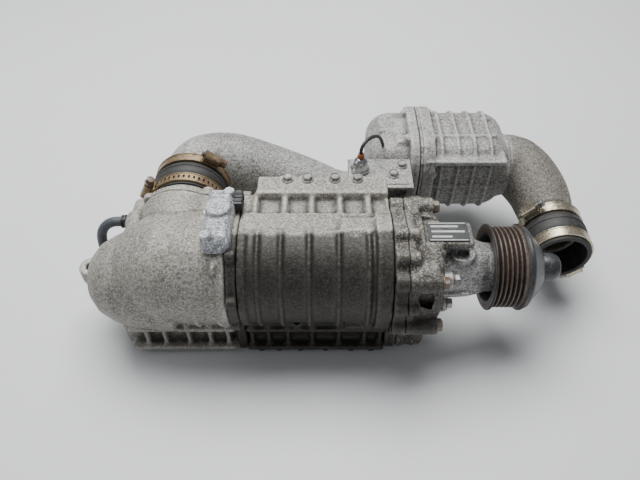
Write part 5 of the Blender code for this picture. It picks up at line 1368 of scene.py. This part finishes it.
class SUPERCHARGER_OT_cable(bpy.types.Operator):
    """Make the control cable, its boot and the cores at its cut end"""

    bl_idname = "supercharger.cable"
    bl_label = "Control Cable"

    def execute(self, context):
        points, spans = eased(CABLE_ROUTE, [CABLE_RADIUS] * len(CABLE_ROUTE), per=4)
        bm = bmesh.new()
        sweep(bm, points, spans, sides=32)
        cable = solid("cable", bm)
        finished(cable, CASING, "sleeving", "cable_sleeving", "control_cable", sharp=40)
        finished(make_gland(), CASING, "plastic", "plastic", "cable_gland", sharp=40)
        wires = make_cable_wires()
        placed = [TO_FRAME @ point for point in points]
        length = sum((b - a).length for a, b in zip(placed, placed[1:]))
        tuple(placed[0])
        [list(point) for point in placed]
        return {"FINISHED"}


class SUPERCHARGER_OT_castings(bpy.types.Operator):
    """Make the rotor housing, manifold, plates, gear cover, snout and neck"""

    bl_idname = "supercharger.castings"
    bl_label = "Main Castings"

    def execute(self, context):
        for make, finish, slot, node in (
                (make_rotor_casing, "rotor casting", "cast_oily", "rotor_housing"),
                (make_end_casting, "rotor casting", "cast_light", "inlet_end_plate"),
                (make_manifold_casting, "pale casting", "cast_light", "inlet_manifold"),
                (make_gear_plate, "plate casting", "cast_light", "bearing_plate"),
                (make_cover_casting, "cover casting", "cast_light", "gear_cover"),
                (make_snout_casting, "bright casting", "cast_bright", "drive_snout"),
                (make_neck_casting, "pale casting", "cast_weathered", "inlet_neck")):
            finished(make(), CASING, finish, slot, node)
        return {"FINISHED"}


class SUPERCHARGER_OT_silencer(bpy.types.Operator):
    """Make the two shells of the intake silencer"""

    bl_idname = "supercharger.silencer"
    bl_label = "Intake Silencer"

    def execute(self, context):
        for make, node in ((make_left_shell, "silencer_left_shell"),
                           (make_right_shell, "silencer_right_shell")):
            finished(make(), CASING, "weathered casting", "cast_weathered", node)
        return {"FINISHED"}


class SUPERCHARGER_OT_ducts(bpy.types.Operator):
    """Make the crossover duct and the intake elbow"""

    bl_idname = "supercharger.ducts"
    bl_label = "Ducts"

    def execute(self, context):
        for name, route, radii, seam, finish, node in (
                ("duct_casting", DUCT_ROUTE, DUCT_RADII, (0.0, 0.5, 1.0), "weathered casting",
                 "crossover_duct"),
                ("elbow_casting", ELBOW_ROUTE, ELBOW_RADII, (0.7, 0.2, 1.0), "stained casting",
                 "intake_elbow")):
            finished(pipe_casting(name, route, radii, seam), CASING, finish, "cast_weathered", node)
        return {"FINISHED"}


class SUPERCHARGER_OT_couplings(bpy.types.Operator):
    """Make the rubber sleeves and their worm-drive clamps"""

    bl_idname = "supercharger.couplings"
    bl_label = "Couplings"

    def execute(self, context):
        for name, centre, start, length, inner, node in (
                ("left_hose", NECK, 0.060, 0.038, 0.0270, "left_sleeve"),
                ("right_hose", RIGHT_HOSE, 0.024, 0.043, 0.0215, "right_sleeve")):
            finished(make_sleeve(name, centre, start, length, inner), CASING, "rubber", "rubber", node,
                     sharp=40)
        for node, centre, start, inner, angle, kind, screw, slotted in (
                ("left_front_clamp", NECK, 0.062, 0.0313, -62, "rusty", "rusty bolt", True),
                ("left_rear_clamp", NECK, 0.087, 0.0313, 35, "rusty", "rusty bolt", False),
                ("right_front_clamp", RIGHT_HOSE, 0.027, 0.0258, 140, "zinc", "steel", False),
                ("right_rear_clamp", RIGHT_HOSE, 0.056, 0.0258, -48, "zinc", "steel", False)):
            finished(make_band(node + "_strap", centre, start, inner, angle, slotted), CASING,
                     kind + " clamp", "clamp_" + kind, node + "_band", sharp=35)
            finished(make_worm_screw(node + "_worm", centre, start, inner, angle), CASING, screw,
                     "clamp_" + kind, node + "_screw", sharp=35)
        return {"FINISHED"}


class SUPERCHARGER_OT_pulley(bpy.types.Operator):
    """Make the grooved pulley, its hub and its cap"""

    bl_idname = "supercharger.pulley"
    bl_label = "Pulley"

    def execute(self, context):
        for make, finish, node, sharp in ((make_pulley, "grooved rim", "pulley", 30),
                                          (make_pulley_hub, "pulley paint", "pulley_cone", 40),
                                          (make_pulley_cap, "pulley paint", "pulley_cap", 40)):
            finished(make(), DRIVE_LINE, finish, "pulley_black", node, sharp=sharp)
        return {"FINISHED"}


class SUPERCHARGER_OT_actuator(bpy.types.Operator):
    """Make the flap actuator and its connector"""

    bl_idname = "supercharger.actuator"
    bl_label = "Flap Actuator"

    def execute(self, context):
        finished(make_actuator(), CASING, "corroded casting", "cast_weathered",
                 "actuator_body")
        finished(make_connector(), CASING, "plastic", "plastic", "actuator_connector",
                 sharp=35)
        return {"FINISHED"}


class SUPERCHARGER_OT_sensor(bpy.types.Operator):
    """Make the silencer's bracket and the sensor that stands on it"""

    bl_idname = "supercharger.sensor"
    bl_label = "Bracket and Sensor"

    def execute(self, context):
        finished(make_bracket(), CASING, "weathered casting", "bolt_steel", "silencer_bracket", sharp=35)
        finished(make_sensor(), CASING, "ground steel", "cast_bright", "sensor_dome", sharp=40)
        finished(make_sensor_seal(), CASING, "orange seal", "clamp_rusty", "sensor_collar",
                 sharp=40)
        finished(make_lead("lead", SENSOR_LEAD_ROUTE, 0.0015), CASING, "plastic", "plastic",
                 "sensor_lead", sharp=40)
        return {"FINISHED"}


class SUPERCHARGER_OT_fasteners(bpy.types.Operator):
    """Make the bolts of the cover, snout and rail, and the rating plate"""

    bl_idname = "supercharger.fasteners"
    bl_label = "Fasteners and Plate"

    def execute(self, context):
        for number, (axis, radius, angle) in enumerate(COVER_BOLTS):
            nodes = [f"cover_bolt_{number + 1}"] if axis == DRIVE else []
            screw_in(f"cover_screw_{number + 1}", "X", polar(axis, radius, angle), COVER[1] - 0.0040,
                     "rusty bolt", *nodes, head=0.0050, turn=13 * number)
        for number, angle in enumerate(SNOUT_BOLTS):
            screw_in(f"snout_screw_{number + 1}", "X", polar(DRIVE, 0.0290, angle), SNOUT[0] + 0.0080,
                     "steel", head=0.0046, turn=11 * number)
        for number, x in enumerate(RAIL_BOLTS):
            screw_in(f"rail_screw_{number + 1}", "Z", (x, 0.0530), 0.1209, "weathered casting",
                     head=0.0040, turn=17 * number, tall=0.0036)
        plate, bars = make_label()
        finished(plate, CASING, "label foil", "label", "label_plate", sharp=35)
        finished(bars, CASING, "label print", "label", sharp=35)
        return {"FINISHED"}


INNER_FINISHES = {
    "rotor alloy": ["drive_rotor", "driven_rotor"],
    "ground steel": ["drive_gear", "driven_gear", "nose_shaft", "flap_shaft", "drive_rear_bearing",
                     "driven_rear_bearing", "nose_rear_bearing_balls", "nose_front_bearing_balls"]
    + [f"{place}_bearing_{race}_race" for place in ("drive_front", "driven_front", "nose_rear", "nose_front")
       for race in ("inner", "outer")],
    "brass": ["torsion_coupling", "air_flap"],
    "rubber": ["shaft_seal"],
    "weathered casting": ["silencer_baffle"],
}


class SUPERCHARGER_OT_inner(bpy.types.Operator):
    """Give the rotors, gears, bearings, flap and baffle their finishes"""

    bl_idname = "supercharger.inner"
    bl_label = "Inner Parts"

    def execute(self, context):
        for name, nodes in INNER_FINISHES.items():
            for node in nodes:
                obj = frame["nodes"][node]
                for slot in obj.material_slots:
                    slot.link = "DATA"
                    slot.material = finish_named(name)
                if not obj.material_slots:
                    obj.data.materials.append(finish_named(name))
        return {"FINISHED"}


STEPS = (SUPERCHARGER_OT_stage, SUPERCHARGER_OT_cable, SUPERCHARGER_OT_castings, SUPERCHARGER_OT_silencer,
         SUPERCHARGER_OT_ducts, SUPERCHARGER_OT_couplings, SUPERCHARGER_OT_pulley, SUPERCHARGER_OT_actuator,
         SUPERCHARGER_OT_sensor, SUPERCHARGER_OT_fasteners, SUPERCHARGER_OT_inner)


class SUPERCHARGER_PT_panel(bpy.types.Panel):
    """The build's steps and sizes in the sidebar"""

    bl_idname = "SUPERCHARGER_PT_panel"
    bl_label = "Supercharger"
    bl_space_type = "VIEW_3D"
    bl_region_type = "UI"
    bl_category = "Supercharger"

    def draw(self, context):
        for group in (context.scene.supercharger_sizes, context.scene.supercharger_colours):
            for name in group.bl_rna.properties.keys():
                if name not in ("rna_type", "name"):
                    self.layout.prop(group, name)
        for step in STEPS:
            self.layout.operator(step.bl_idname)


CLASSES = (SuperchargerSizes, SuperchargerColours, *STEPS, SUPERCHARGER_PT_panel)


def register():
    for cls in CLASSES:
        bpy.utils.register_class(cls)
    bpy.types.Scene.supercharger_sizes = bpy.props.PointerProperty(type=SuperchargerSizes)
    bpy.types.Scene.supercharger_colours = bpy.props.PointerProperty(type=SuperchargerColours)


def unregister():
    del bpy.types.Scene.supercharger_colours
    del bpy.types.Scene.supercharger_sizes
    for cls in reversed(CLASSES):
        bpy.utils.unregister_class(cls)


def main():
    register()
    for step in STEPS:
        group, name = step.bl_idname.split(".")
        getattr(getattr(bpy.ops, group), name)()


if __name__ == "__main__":
    main()
